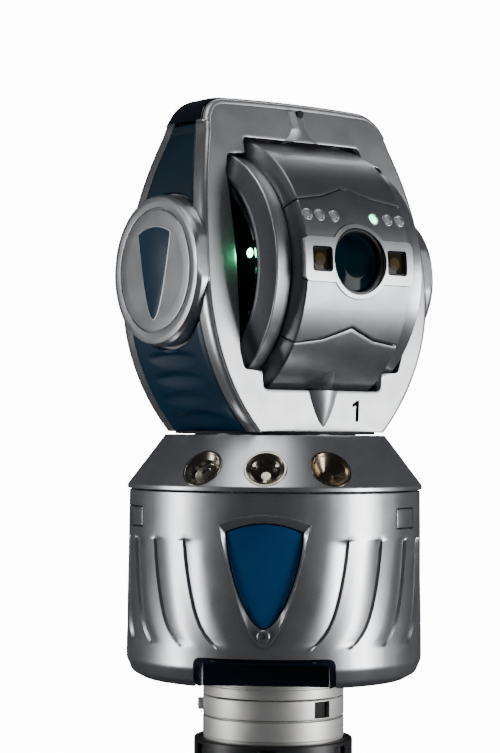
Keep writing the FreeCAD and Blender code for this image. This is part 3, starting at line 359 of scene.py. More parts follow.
class Finishes:
    """Every finish on the head, built once and handed out by name."""

    def __init__(self) -> None:
        """Build all materials."""
        self.silver = MetallicPaint("silver_paint", (0.50, 0.51, 0.53), (0.66, 0.67, 0.69), 0.33).build()
        # Lighter copy of the silver paint for the yoke's faces, rims and ridges and the lamp cups: painted
        # light.
        self.lit_face_silver = MetallicPaint(
            "lit_face_silver", (0.60, 0.61, 0.63), (0.78, 0.79, 0.81), 0.47).build()
        # Darker copy of the silver paint on the drum's covers, brow and chin ridge: painted shade.
        self.shaded_drum_silver = MetallicPaint("drum_paint", (0.29, 0.30, 0.32), (0.41, 0.42, 0.44), 0.40).build()
        self.plate_silver = MetallicPaint(
            "plate_silver", (0.52, 0.53, 0.55), (0.66, 0.67, 0.69), 0.42).build()
        self.grey = MetallicPaint("disc_grey", (0.15, 0.158, 0.172), (0.22, 0.23, 0.25), 0.42, 0.7).build()
        self.brushed = TurnedMetal(
            "brushed_metal", (0.92, 0.91, 0.88), (0.80, 0.79, 0.77), 0.48, metallic=0.75).build()
        self.casting = TurnedMetal("casting", (0.52, 0.53, 0.54), (0.42, 0.43, 0.44), 0.45).build()
        self.steel = TurnedMetal("ground_steel", (0.55, 0.55, 0.56), (0.42, 0.42, 0.44), 0.25).build()
        self.polished = PolishedSteel("polished_steel").build()
        # Steel tinted brown for the right nest: a painted brown reflection.
        self.brown_reflection_nest = PolishedSteel("brown_reflection_steel", (0.36, 0.29, 0.21), (0.24, 0.19, 0.135), 0.22).build()
        self.black = SatinBlack("black_metal").build()
        self.matte_black = SatinBlack("socket_black", roughness=0.6).build()
        self.gap = SatinBlack("shadow_gap", (0.004, 0.004, 0.005), (0.008, 0.008, 0.01), 0.7).build()
        self.dark_gloss = GlossPlastic(
            "dark_gloss", (0.004, 0.007, 0.012), (0.007, 0.012, 0.02), 0.12).build()
        self.upper_navy = GlossPlastic(
            "upper_navy", (0.001, 0.014, 0.030), (0.002, 0.022, 0.045), 0.42, 0.0).build()
        self.lower_navy = GlossPlastic(
            "lower_navy", (0.001, 0.026, 0.060), (0.002, 0.036, 0.080), 0.42, 0.0).build()
        self.royal = GlossPlastic(
            "royal_blue", (0.002, 0.080, 0.25), (0.003, 0.095, 0.29), 0.3, 0.25).build()
        # The panels' navy darkened far down for the frame inside the front recess: painted shade.
        self.shaded_recess_navy = GlossPlastic(
            "shaded_recess_navy", (0.001, 0.006, 0.016), (0.002, 0.010, 0.026), 0.22, 0.3).build()
        self.recess_gloss = GlossPlastic(
            "recess_gloss", (0.003, 0.004, 0.005), (0.006, 0.008, 0.010), 0.1, 0.8).build()
        self.lens = CoatedGlass("lens_glass", (0.001, 0.004, 0.008), (0.002, 0.016, 0.026)).build()
        self.camera_glass = CoatedGlass(
            "camera_glass", (0.010, 0.008, 0.006), (0.030, 0.022, 0.012)).build()
        self.camera_eye = CoatedGlass("camera_eye", (0.05, 0.034, 0.015), (0.10, 0.07, 0.032), 0.2).build()
        self.clear_lamp = GlossPlastic("light_clear", (0.30, 0.31, 0.32), (0.42, 0.43, 0.44), 0.18).build()
        self.green_lamp = GlowingLens("light_green", (0.05, 0.9, 0.35), 9.0).build()
        self.green_core = GlowingLens("side_light_green", (0.12, 1.0, 0.42), 26.0).build()
        self.winding = TurnedMetal("winding", (0.48, 0.24, 0.10), (0.30, 0.14, 0.06), 0.4).build()
        self.board = GlossPlastic("circuit_board", (0.01, 0.09, 0.03), (0.02, 0.14, 0.05), 0.4, 0.2).build()
        self.ink = SatinBlack("marking_ink", (0.015, 0.02, 0.028), (0.03, 0.035, 0.045), 0.5).build()


# ------------------------------------------------------------------------------ mesh tools


def mix(low: float, high: float, part: float) -> float:
    """Go a part of the way from low to high."""
    return low + (high - low) * part


def ease(part: float) -> float:
    """Smooth a part so that it starts and ends gently."""
    part = min(1.0, max(0.0, part))
    return part * part * (3.0 - 2.0 * part)


def bowed(first: float, knee: float, last: float, part: float) -> float:
    """Follow a curve from first to last that leans towards a knee."""
    return first * (1 - part) ** 2 + 2 * knee * part * (1 - part) + last * part**2


def softened(corners: Sequence[Corner], closed: bool = True, steps: int = 5) -> list[Point]:
    """Round the corners of an outline.

    Args:
        corners: Points with the radius that each corner gets.
        closed: Whether the last point joins the first.
        steps: Edges in each rounded corner.

    Returns:
        The outline's points.
    """
    points: list[Point] = []
    count = len(corners)
    for index, (across, up, radius) in enumerate(corners):
        here = Vector((across, up))
        open_end = not closed and index in (0, count - 1)
        if radius <= 0 or open_end:
            points.append((across, up))
            continue
        before = Vector(corners[index - 1][:2]) - here
        after = Vector(corners[(index + 1) % count][:2]) - here
        half = max(0.05, before.angle(after) / 2)
        reach = min(radius / math.tan(half), before.length * 0.48, after.length * 0.48)
        first = here + before.normalized() * reach
        last = here + after.normalized() * reach
        for step in range(steps + 1):
            part = step / steps
            bend = first.lerp(here, part).lerp(here.lerp(last, part), part)
            points.append((bend.x, bend.y))
    return points


def lathe(profile: Sequence[Point], steps: int = 160) -> Mesh:
    """Spin a closed half-section of (radius, height) points about the Z axis.

    Args:
        profile: The half-section, in order.
        steps: Faces round the axis.

    Returns:
        The turned shell, closed at its seam and poles.
    """
    mesh = bmesh.new()
    verts = [mesh.verts.new((radius, 0.0, height)) for radius, height in profile]
    edges = [mesh.edges.new((verts[index - 1], verts[index])) for index in range(len(verts))]
    bmesh.ops.spin(
        mesh, geom=verts + edges, cent=(0, 0, 0), axis=(0, 0, 1), angle=math.tau, steps=steps,
        use_merge=True)
    bmesh.ops.remove_doubles(mesh, verts=mesh.verts, dist=1e-4)
    bmesh.ops.dissolve_degenerate(mesh, dist=1e-5, edges=mesh.edges)
    bmesh.ops.recalc_face_normals(mesh, faces=mesh.faces)
    return mesh


def mapped_grid(columns: int, rows: int, place: Callable[[int, int], Vector], close: bool = False) -> Mesh:
    """Bend a flat grid into a surface.

    Args:
        columns: Number of grid points across.
        rows: Number of grid points up.
        place: Gives the position of the point at a column and a row.
        close: Whether points that meet are merged, for a surface that comes back to itself.

    Returns:
        The bent surface.
    """
    mesh = bmesh.new()
    bmesh.ops.create_grid(mesh, x_segments=columns - 1, y_segments=rows - 1, size=0.5)
    across = sorted({round(vert.co.x, 5) for vert in mesh.verts})
    up = sorted({round(vert.co.y, 5) for vert in mesh.verts})
    column_of = {value: index for index, value in enumerate(across)}
    row_of = {value: index for index, value in enumerate(up)}
    for vert in mesh.verts:
        vert.co = place(column_of[round(vert.co.x, 5)], row_of[round(vert.co.y, 5)])
    if close:
        bmesh.ops.remove_doubles(mesh, verts=mesh.verts, dist=1e-3)
        bmesh.ops.dissolve_degenerate(mesh, dist=1e-4, edges=mesh.edges)
        bmesh.ops.recalc_face_normals(mesh, faces=mesh.faces)
    return mesh


def lofted(loops: Sequence[Sequence[Vector]], round_loops: bool = True, round_stack: bool = False) -> Mesh:
    """Skin a stack of loops that have the same number of points.

    Args:
        loops: The loops, from first to last.
        round_loops: Whether each loop closes on itself.
        round_stack: Whether the last loop joins the first.

    Returns:
        The skin.
    """
    columns = len(loops[0]) + (1 if round_loops else 0)
    rows = len(loops) + (1 if round_stack else 0)

    def place(column: int, row: int) -> Vector:
        """Read a point, counting round."""
        loop = loops[row % len(loops)]
        return Vector(loop[column % len(loop)])

    return mapped_grid(columns, rows, place, close=True)


def capped(loops: Sequence[Sequence[Vector]]) -> Mesh:
    """Skin a stack of loops and close both of its ends.

    Args:
        loops: The loops, from first to last.

    Returns:
        A closed solid.
    """
    mesh = lofted(loops)
    open_edges = [edge for edge in mesh.edges if len(edge.link_faces) == 1]
    bmesh.ops.holes_fill(mesh, edges=open_edges, sides=0)
    bmesh.ops.recalc_face_normals(mesh, faces=mesh.faces)
    return mesh


def thickened(mesh: Mesh, thickness: float) -> Mesh:
    """Give a skin a thickness and turn its faces outward."""
    bmesh.ops.solidify(mesh, geom=list(mesh.faces), thickness=thickness)
    bmesh.ops.recalc_face_normals(mesh, faces=mesh.faces)
    return mesh


def slab(outline: Sequence[Point], near: float, far: float, edge: float = 0.0) -> Mesh:
    """Raise a flat outline into a plate with bevelled far edges.

    Args:
        outline: (x, z) points, anticlockwise seen from -Y.
        near: Depth of the back face, as a distance towards -Y.
        far: Depth of the front face.
        edge: Width of the bevel round the front face.

    Returns:
        The plate, facing -Y.
    """
    mesh = bmesh.new()
    verts = [mesh.verts.new((across, -near, up)) for across, up in outline]
    face = mesh.faces.new(verts)
    raised = bmesh.ops.extrude_face_region(mesh, geom=[face])
    moved = [item for item in raised["geom"] if isinstance(item, bmesh.types.BMVert)]
    bmesh.ops.translate(mesh, verts=moved, vec=(0, near - far, 0))
    if edge > 0:
        tops = [item for item in raised["geom"] if isinstance(item, bmesh.types.BMEdge)]
        bmesh.ops.bevel(mesh, geom=tops, offset=edge, segments=3, profile=0.5, affect="EDGES", material=-1)
    bmesh.ops.recalc_face_normals(mesh, faces=mesh.faces)
    return mesh


def block(low: Corner, high: Corner, edge: float = 0.0, segments: int = 3) -> Mesh:
    """Make a box between two corners with bevelled edges.

    Args:
        low: Lowest corner.
        high: Highest corner.
        edge: Bevel width.
        segments: Faces across the bevel.

    Returns:
        The box.
    """
    mesh = bmesh.new()
    bmesh.ops.create_cube(mesh, size=1.0)
    size = Vector(high) - Vector(low)
    bmesh.ops.scale(mesh, verts=mesh.verts, vec=size)
    bmesh.ops.translate(mesh, verts=mesh.verts, vec=(Vector(low) + Vector(high)) / 2)
    if edge > 0:
        bmesh.ops.bevel(
            mesh, geom=list(mesh.edges), offset=edge, segments=segments, profile=0.5, affect="EDGES",
            material=-1)
    return mesh


def post(radius: float, near: float, far: float, edge: float = 0.0, steps: int = 48) -> Mesh:
    """Make a round post that points out to -Y, with its far rim rounded.

    Args:
        radius: Radius.
        near: Distance of the back end from the axis plane.
        far: Distance of the front end.
        edge: Radius of the front rim.
        steps: Faces round it.

    Returns:
        The post.
    """
    profile = softened([(0, near, 0), (radius, near, 0), (radius, far, edge), (0, far, 0)])
    mesh = lathe(profile, steps)
    bmesh.ops.rotate(mesh, verts=mesh.verts, cent=(0, 0, 0), matrix=Matrix.Rotation(math.pi / 2, 3, "X"))
    return mesh


def combined(first: Mesh, *others: Mesh) -> Mesh:
    """Add other meshes to the first one."""
    for other in others:
        spare = bpy.data.meshes.new("spare")
        other.to_mesh(spare)
        first.from_mesh(spare)
        other.free()
        bpy.data.meshes.remove(spare)
    return first


def moved(mesh: Mesh, matrix: Matrix) -> Mesh:
    """Move a mesh by a matrix in millimetres."""
    bmesh.ops.transform(mesh, matrix=matrix, verts=mesh.verts)
    return mesh


def turned(mesh: Mesh, degrees: float, axis: str = "Z") -> Mesh:
    """Turn a mesh about one of the frame's axes."""
    return moved(mesh, Matrix.Rotation(math.radians(degrees), 4, axis))


class Piece:
    """One finished object: its mesh, its finish, the body it rides on and the nodes it stands for."""

    def __init__(self, name: str, mesh: Mesh, finish: Material, body: Body,
                 replaces: Sequence[str] = (), slot: str = "", sharp: float = 32.0) -> None:
        """Scale the mesh to metres, shade it and hand it to the frame.

        Args:
            name: Object name.
            mesh: Shape in millimetres; it is freed here.
            finish: Material.
            body: Body that it moves with.
            replaces: CAD nodes that it stands for.
            slot: The record's material slot, if it has one; not used.
            sharp: Angle in degrees over which an edge stays crisp.
        """
        bmesh.ops.scale(mesh, verts=mesh.verts, vec=(MM, MM, MM))
        limit = math.radians(sharp)
        for face in mesh.faces:
            face.smooth = True
        for edge in mesh.edges:
            edge.smooth = len(edge.link_faces) == 2 and edge.calc_face_angle(0.0) < limit
        data = bpy.data.meshes.new(name)
        mesh.to_mesh(data)
        mesh.free()
        data.materials.append(finish)
        self.thing = placed_object(name, data)
        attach(self.thing, body.value)
        if replaces:
            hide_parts(*replaces)
        LOG.info("%s: %d faces on %s", name, len(data.polygons), body.value)


def placed_object(name: str, data: bpy.types.ID | None) -> Thing:
    """Make an object of some data and put it in the scene."""
    thing = bpy.data.objects.new(name, data)
    bpy.context.scene.collection.objects.link(thing)
    return thing


def carve(mesh: Mesh, cutters: Sequence[Mesh]) -> Mesh:
    """Cut closed solids out of a closed solid.

    Args:
        mesh: The solid to cut; it is freed.
        cutters: Solids to remove; they are freed.

    Returns:
        What is left.
    """
    def hold(name: str, source: Mesh) -> Thing:
        """Put a mesh on a passing object."""
        data = bpy.data.meshes.new(name)
        source.to_mesh(data)
        source.free()
        return placed_object(name, data)

    body = hold("carved", mesh)
    tools = [hold("cutter", cutter) for cutter in cutters]
    for tool in tools:
        change = body.modifiers.new("cut", "BOOLEAN")
        change.operation = "DIFFERENCE"
        change.solver = "EXACT"
        change.object = tool
    view = bpy.context.evaluated_depsgraph_get()
    result = bmesh.new()
    data = bpy.data.meshes.new_from_object(body.evaluated_get(view))
    result.from_mesh(data)
    bpy.data.meshes.remove(data)
    for thing in (body, *tools):
        data = thing.data
        bpy.data.objects.remove(thing)
        bpy.data.meshes.remove(data)
    bmesh.ops.remove_doubles(result, verts=result.verts, dist=1e-3)
    return result


# ------------------------------------------------------------------------------ studio


@dataclass
class Studio:
    """Pale floor, pale surround, four soft boxes and the camera."""

    lens_mm: float = 105.2
    camera_distance: float = 1.635
    camera_height: float = 0.249
    camera_azimuth: float = -36.5
    axis_offset: float = 0.01895
    pitch: float = 1.39
    roll: float = 0.4
    surround_radius: float = 5.5
    paleness: float = 14.0
    lamp_aim: float = 0.28

    def surround(self) -> None:
        """Build a pale floor and a pale shell that only the camera sees."""
        mesh = bmesh.new()
        bmesh.ops.create_circle(mesh, cap_ends=True, radius=self.surround_radius / MM, segments=96)
        floor = self.stage_piece("studio_floor", mesh, (0.93, 0.93, 0.93), self.paleness)
        shell = bmesh.new()
        bmesh.ops.create_icosphere(shell, subdivisions=4, radius=self.surround_radius / MM)
        bmesh.ops.reverse_faces(shell, faces=shell.faces)
        dome = self.stage_piece("studio_shell", shell, (1.0, 1.0, 1.0), self.paleness)
        for thing in (floor, dome):
            thing.visible_glossy = False
            thing.visible_diffuse = False
            thing.visible_shadow = False

    def stage_piece(self, name: str, mesh: Mesh, colour: Corner, glow: float) -> Thing:
        """Finish a piece of the room.

        Args:
            name: Object name.
            mesh: Shape in millimetres.
            colour: Surface colour.
            glow: Light that it gives out.

        Returns:
            The object.
        """
        bmesh.ops.scale(mesh, verts=mesh.verts, vec=(MM, MM, MM))
        data = bpy.data.meshes.new(name)
        mesh.to_mesh(data)
        mesh.free()
        graph = Graph(name)
        graph.shader.inputs["Base Color"].default_value = (*colour, 1.0)
        graph.shader.inputs["Emission Color"].default_value = (1.0, 1.0, 1.0, 1.0)
        graph.fix(Roughness=0.9, Emission_Strength=glow)
        data.materials.append(graph.material)
        thing = placed_object(name, data)
        return thing

    def soft_box(self, name: str, azimuth: float, height: float, distance: float, wide: float, tall: float,
                 power: float) -> None:
        """Hang one rectangular lamp that faces the head.

        Args:
            name: Lamp name.
            azimuth: Bearing in degrees, 0 at -Y.
            height: Height of its middle.
            distance: Distance from the turning axis.
            wide: Width.
            tall: Height of the lamp itself.
            power: Watts.
        """
        light = bpy.data.lights.new(name, "AREA")
        light.shape = "RECTANGLE"
        light.size = wide
        light.size_y = tall
        light.energy = power
        lamp = placed_object(name, light)
        angle = math.radians(azimuth)
        lamp.location = (distance * math.sin(angle), -distance * math.cos(angle), height)
        aim = Vector((0, 0, self.lamp_aim)) - lamp.location
        lamp.rotation_euler = aim.to_track_quat("-Z", "Y").to_euler()

    def lights(self) -> None:
        """Place the lamps and the dim room round them."""
        world = bpy.data.worlds.new("room")
        world.use_nodes = True
        world.node_tree.nodes["Background"].inputs["Color"].default_value = (0.026, 0.027, 0.031, 1.0)
        world.node_tree.nodes["Background"].inputs["Strength"].default_value = 1.0
        bpy.context.scene.world = world
        facing = self.camera_azimuth
        self.soft_box("right_box", facing + 70, 0.08, 1.9, 0.56, 1.0, 27)
        self.soft_box("left_box", facing - 79, 0.20, 1.9, 0.42, 1.2, 17)
        self.soft_box("top_box", facing - 30, 2.3, 0.75, 1.2, 0.9, 12)
        self.soft_box("rear_box", facing + 172, 1.9, 1.9, 1.0, 0.7, 9)

    def camera(self) -> None:
        """Stand the camera at the measured place and make it the scene's."""
        data = bpy.data.cameras.new("view")
        data.lens = self.lens_mm
        data.sensor_width = 36.0
        data.clip_end = 40.0
        camera = placed_object("view", data)
        angle = math.radians(self.camera_azimuth)
        toward = Vector((math.sin(angle), -math.cos(angle), 0.0))
        right = Vector((math.cos(angle), math.sin(angle), 0.0))
        camera.location = toward * self.camera_distance - right * self.axis_offset
        camera.location.z = self.camera_height
        look = Matrix((right, (0, 0, 1), toward)).transposed()
        nod = Matrix.Rotation(math.radians(self.pitch), 3, "X")
        lean = Matrix.Rotation(math.radians(self.roll), 3, "Z")
        camera.rotation_euler = (look @ (nod @ lean)).to_euler()
        bpy.context.scene.camera = camera

    def build(self) -> None:
        """Set up the whole studio."""
        self.surround()
        self.lights()
        self.camera()


# ------------------------------------------------------------------------------ stand mount


@dataclass
class StandMount:
    """Black hand nut, machined neck and the lock ring in its groove."""

    finishes: Finishes
    turn: float = -41.0
    nut_radius: float = 58.6
    nut_height: float = 23.0
    neck_radius: float = 52.1
    socket_radius: float = 42.9
    socket_depth: float = 38.0
    foot: float = 68.0
    band_low: float = 40.0
    band_high: float = 54.0
    notch_width: float = 14.0
    notch_depth: float = 4.0
    notch_count: int = 6

    def nut(self) -> None:
        """Turn the nut and cut its spanner notches."""
        profile = softened([
            (50.0, 0.0, 0.3), (self.nut_radius, 0.0, 1.4), (self.nut_radius, self.nut_height, 1.8),
            (self.neck_radius + 0.4, self.nut_height, 0.5),
            (self.neck_radius + 0.4, self.nut_height - 2, 0.2),
            (50.0, self.nut_height - 2, 0.2),
        ])
        cutters = []
        for index in range(self.notch_count):
            cutter = block((-self.notch_width / 2, -self.nut_radius - 6, -1),
                           (self.notch_width / 2, self.notch_depth - self.nut_radius, self.nut_height - 3),
                           1.5)
            cutters.append(turned(cutter, index * 360 / self.notch_count + self.turn))
        Piece("hand_nut", carve(lathe(profile), cutters), self.finishes.black, Body.BASE, ["stand_nut"],
              "black_metal")

    def neck(self) -> None:
        """Turn the neck, with its thread socket below and the ring's groove round it."""
        groove = self.neck_radius - 3.6
        profile = softened([
            (0, self.socket_depth, 0), (self.socket_radius, self.socket_depth, 0.5),
            (self.socket_radius, 0, 0.8),
            (49.9, 0, 0.5), (49.9, self.nut_height - 2, 0.2),
            (self.neck_radius - 0.6, self.nut_height - 2, 0.2),
            (self.neck_radius - 0.6, self.nut_height + 1.4, 0.3),
            (self.neck_radius, self.nut_height + 2, 0.4),
            (self.neck_radius, self.band_low - 1.3, 0.5), (groove, self.band_low - 1.3, 0.2),
            (groove, self.band_high + 0.9, 0.2), (self.neck_radius, self.band_high + 0.9, 0.5),
            (self.neck_radius, self.foot - 6.2, 0.4), (self.neck_radius - 0.7, self.foot - 5.8, 0.2),
            (self.neck_radius - 0.7, self.foot - 5.0, 0.2), (self.neck_radius, self.foot - 4.6, 0.4),
            (self.neck_radius, self.foot, 0.3), (40, self.foot, 0.3), (40, self.foot + 6, 0.3),
            (0, self.foot + 6, 0),
        ])
        Piece("neck", lathe(profile), self.finishes.brushed, Body.BASE, ["mount_adapter"], "brushed_metal")

    def lock_ring(self) -> None:
        """Turn the lock ring, cut its window and stand the finger lug on it."""
        inner = self.neck_radius - 3.3
        profile = softened([
            (inner, self.band_low, 0.2), (self.neck_radius, self.band_low, 0.7),
            (self.neck_radius, self.band_high, 0.7), (inner, self.band_high, 0.2),
        ])
        window = turned(block((-7.5, -70, self.band_low + 1.0), (7.5, -40, self.band_high - 1.0), 0.8),
                        47.0 + self.turn)
        ring = carve(lathe(profile), [window])
        middle = (self.band_low + self.band_high) / 2
        lug = block((-5.5, -self.neck_radius - 3.9, middle - 4), (5.5, -self.neck_radius + 1.5, middle + 4),
                    1.2)
        lug = turned(lug, -82.0 + self.turn)
        Piece("lock_ring_turned", combined(ring, lug), self.finishes.brushed, Body.LOCK, ["lock_ring"],
              "brushed_metal")

    def shade_ring(self) -> None:
        """Lay a near-black sheet in the groove behind the lock ring's window: painted shade."""
        groove = self.neck_radius - 3.55
        profile = softened([
            (groove - 0.4, self.band_low - 0.8, 0.1), (groove, self.band_low - 0.8, 0.1),
            (groove, self.band_high + 0.5, 0.1), (groove - 0.4, self.band_high + 0.5, 0.1),
        ])
        Piece("groove_shade_sheet", lathe(profile), self.finishes.gap, Body.BASE)

    def build(self) -> None:
        """Build every piece of the mount."""
        self.nut()
        self.neck()
        self.lock_ring()
        self.shade_ring()


# ------------------------------------------------------------------------------ base casing


@dataclass
class Shield:
    """The badge's outline: arched on top, two bowed sides that meet in a blunt tip."""

    top: float
    corner: float
    half: float
    tip: float
    bluntness: float = 0.6
    fullness: float = 1.0

    def half_width(self, height: float) -> float:
        """Half the width of the shield at a height between its tip and its corners."""
        part = min(1.0, max(0.0, (height - self.tip) / (self.corner - self.tip)))
        return self.half * (1.0 - (1.0 - part) ** self.fullness) ** self.bluntness

    def outline(self, inset: float = 0.0, side_steps: int = 26, top_steps: int = 12) -> list[Point]:
        """Walk round the shield anticlockwise from its tip.

        Args:
            inset: Distance to draw the outline in by.
            side_steps: Points up each side.
            top_steps: Points over the arch.

        Returns:
            (across, height) points.
        """
        shares = [(step / side_steps) ** 1.9 for step in range(1, side_steps + 1)]
        heights = [mix(self.tip, self.corner, share) for share in shares]
        right = [(self.half_width(height), height) for height in heights]
        rise = self.top - self.corner
        arch = [
            (self.half * math.cos(math.pi * step / top_steps),
             self.corner + rise * (1.0 - math.cos(math.pi * step / top_steps) ** 2))
            for step in range(1, top_steps)
        ]
        left = [(-across, up) for across, up in reversed(right)]
        points = [(0.0, self.tip), *right, *arch, *left]
        return offset_loop(points, -inset) if inset else points


def offset_loop(points: Sequence[Point], distance: float) -> list[Point]:
    """Move an anticlockwise loop outwards.

    Args:
        points: The loop.
        distance: How far to move it; negative draws it in.

    Returns:
        The moved loop.
    """
    result = []
    count = len(points)
    for index in range(count):
        before = Vector(points[index - 1])
        here = Vector(points[index])
        after = Vector(points[(index + 1) % count])
        first = (here - before).normalized()
        second = (after - here).normalized()
        normal = Vector((first.y + second.y, -first.x - second.x))
        scale = distance / max(0.35, 1.0 + first.dot(second))
        result.append((here.x + normal.x * scale, here.y + normal.y * scale))
    return result


@dataclass
class BaseCasing:
    """Drum-shaped casing with flutes, badge, front recess, lids and rear sockets."""

    finishes: Finishes
    turn: float = -41.0
    foot: float = 68.0
    foot_radius: float = 97.0
    radius: float = 109.0
    top_radius: float = 107.5
    top: float = 205.0
    wall: float = 3.5
    flute_first: float = 32.5
    flute_pitch: float = 16.0
    flute_count: int = 7
    flute_width: float = 9.0
    flute_depth: float = 2.1
    flute_top: float = 173.0
    flute_foot: float = 96.0
    flute_sweep: float = 15.5
    screw_height: float = 106.0
    badge_middle: float = 145.0
    lid_bearing: float = 65.0
    shield: Shield = field(default_factory=lambda: Shield(190.0, 183.0, 33.3, 97.5, 0.57))
    insert: Shield = field(default_factory=lambda: Shield(184.0, 177.5, 28.0, 110.9, 0.58, 1.5))

    def radius_at(self, height: float) -> float:
        """Radius of the outer wall at a height above its rounded foot."""
        return mix(self.radius, self.top_radius, max(0.0, (height - 82.0) / (self.top - 82.0)))

    def sweep(self, height: float) -> float:
        """How far round a flute has swung in at a height, in degrees."""
        part = min(1.0, max(0.0, (self.flute_top - height) / (self.flute_top - self.flute_foot)))
        return self.flute_sweep * (0.6 * part**1.5 + 0.4 * part**8)

    def columns(self) -> list[tuple[float, float]]:
        """List the wall's columns.

        Returns:
            (straight bearing, flute depth share) pairs once round the base.
        """
        half: list[tuple[float, float]] = [(bearing, 0.0) for bearing in (0, 3, 6, 9, 12, 15, 18, 21)]
        for index in range(self.flute_count):
            edge = self.flute_first + index * self.flute_pitch
            start = edge - self.flute_width
            for step in range(7):
                part = step / 6
                half.append((start + self.flute_width * part, part**1.6))
            half.append((edge + 0.55, 0.0))
            half.append((edge + 3.6, 0.0))
        last = half[-1][0]
        rest = [last + (180 - last) * step / 16 for step in range(1, 16)]
        half += [(bearing, 0.0) for bearing in rest]
        mirrored = [(-bearing, depth) for bearing, depth in reversed(half[1:])]
        return half + [(180.0, 0.0)] + mirrored

    def section(self) -> list[tuple[float, float, float]]:
        """List the wall's half-section.

        Returns:
            (radius, height, share of the flute depth) rows, up the outside and down the inside.
        """
        foot = softened([
            (self.foot_radius - self.wall, self.foot, 0), (self.foot_radius, self.foot, 1.2),
            (self.foot_radius + 7.8, self.foot + 4.2, 6.0), (self.radius, self.foot + 14.0, 9.0),
            (self.radius_at(95.0), 95.0, 0),
        ], closed=False)
        rows = [(radius, height, 0.0) for radius, height in foot]
        low, high = self.flute_foot, self.flute_top
        for part in (0.0, 0.02, 0.045, 0.08, 0.13, 0.2, 0.28, 0.37, 0.47, 0.58, 0.7, 0.82, 0.92, 0.965,
                     0.985):
            height = mix(low, high, part)
            rows.append((self.radius_at(height), height,
                         ease(part / 0.05) * (1.0 - ease((part - 0.95) / 0.055))))
        rows.append((self.radius_at(high), high, 0.0))
        for height in (176.5, 182.0, 188.0, 194.0, 200.0):
            rows.append((self.radius_at(height), height, 0.0))
        edge = softened([
            (self.top_radius + 0.05, self.top - 2.5, 0), (self.top_radius, self.top, 0.9),
            (self.top_radius - self.wall, self.top, 0.4), (self.top_radius - self.wall, self.top - 3, 0),
        ], closed=False)
        rows += [(radius, height, 0.0) for radius, height in edge]
        for height in (170.0, 130.0, 96.0, 84.0):
            rows.append((self.radius_at(height) - self.wall, height, 0.0))
        rows.append((self.foot_radius + 4.0, self.foot + 6.5, 0.0))
        rows.append((self.foot_radius - self.wall, self.foot + 3.0, 0.0))
        return rows

    def shell(self) -> Mesh:
        """Bend the wall round and press the flutes into it."""
        columns = self.columns()
        rows = self.section()
        share_to = self.flute_first - self.flute_width
        last = self.flute_first + self.flute_pitch * (self.flute_count - 1) + 3.6
        loops = []
        for radius, height, share in rows:
            loop = []
            for bearing, depth in columns:
                size = abs(bearing)
                weight = min(1.0, size / share_to) if size < last else (180.0 - size) / (180.0 - last)
                swung = bearing - math.copysign(self.sweep(height) * weight, bearing)
                here = radius - depth * share * self.flute_depth
                angle = math.radians(swung + self.turn)
                loop.append(Vector((here * math.sin(angle), -here * math.cos(angle), height)))
            loops.append(loop)
        return lofted(loops, True, True)

    def wrapped_shield(self, inset: float, near: float, far: float) -> list[list[Vector]]:
        """Wrap the shield's outline round the base at two radii.

        Args:
            inset: Distance to draw the outline in by.
            near: Inner radius.
            far: Outer radius.

        Returns:
            One loop at each radius.
        """
        loops = []
        for radius in (near, far):
            loops.append([self.wrapped(across, up, radius) for across, up in self.shield.outline(inset)])
        return loops

    def wrapped(self, across: float, up: float, radius: float) -> Vector:
        """Put a point of the unrolled wall on the base, facing -Y before the base is turned."""
        angle = across / self.radius + math.radians(self.turn)
        return Vector((radius * math.sin(angle), -radius * math.cos(angle), up))

    def housing(self) -> None:
        """Build the casing and cut its openings."""
        pocket = capped(self.wrapped_shield(0.0, self.radius - 12, self.radius + 8))
        recess = turned(block((-50, -130, 40), (50, -75, 90), 5.0, 5), self.turn)
        panel = turned(block((-45, 60, 96), (45, 130, 140), 3.0), self.turn)
        front = -self.top_radius
        lids = self.beside(lambda: block((-13.9, front - 4, 178.6), (13.9, front + 5, 194.0), 1.6))
        Piece("base_casing", carve(self.shell(), [pocket, recess, panel, *lids]), self.finishes.silver,
              Body.BASE,
              ["base_housing"], "silver_paint")

    def badge(self) -> None:
        """Build the badge's bright border, its shadow gap and the blue insert."""
        wall = self.radius_at(self.badge_middle)
        stack = []
        edges = ((self.shield, 0.05, wall - 7), (self.shield, 0.05, wall + 0.5),
                 (self.shield, 0.4, wall + 1.3),
                 (self.shield, 1.0, wall + 1.3), (self.insert, -0.5, wall - 1.0),
                 (self.insert, -0.3, wall - 2.2),
                 (self.insert, -0.3, wall - 7))
        for form, inset, radius in edges:
            stack.append([self.wrapped(across, up, radius) for across, up in form.outline(inset)])
        border = lofted(stack, True, True)
        Piece("badge_border", border, self.finishes.silver, Body.BASE, ["badge_bezel"], "silver_paint")
        floor = capped([
            [self.wrapped(across, up, radius) for across, up in self.insert.outline(-0.2)]
            for radius in (wall - 7, wall - 4.5)
        ])
        Piece("badge_floor", floor, self.finishes.gap, Body.BASE)
        stack = []
        for inset, radius in ((0.5, wall - 5), (0.5, wall - 2.2), (0.7, wall - 1.7), (1.2, wall - 1.4)):
            stack.append([self.wrapped(across, up, radius) for across, up in self.insert.outline(inset)])
        rim = stack[-1]
        middle = sum(rim, Vector()) / len(rim)
        for part in (0.8, 0.55, 0.3, 0.1):
            loop = []
            for spot in rim:
                at = middle.lerp(spot, part)
                flat = Vector((at.x, at.y)).normalized() * (wall - 1.4)
                loop.append(Vector((flat.x, flat.y, at.z)))
            stack.append(loop)
        Piece("badge_face", capped(stack), self.finishes.royal, Body.BASE, ["badge_insert"], "royal_blue")
        boss = post(4.6, wall - 6, wall + 1.7, 1.2)
        boss = carve(boss, [post(1.9, wall - 3, wall + 4)])
        lift = Matrix.Translation((0, 0, self.screw_height))
        moved(boss, lift)
        Piece("badge_boss", turned(boss, self.turn), self.finishes.silver, Body.BASE)
        screw = moved(post(1.6, wall - 6, wall - 2.2, 0.3), lift)
        Piece("badge_screw", turned(screw, self.turn), self.finishes.black, Body.BASE)

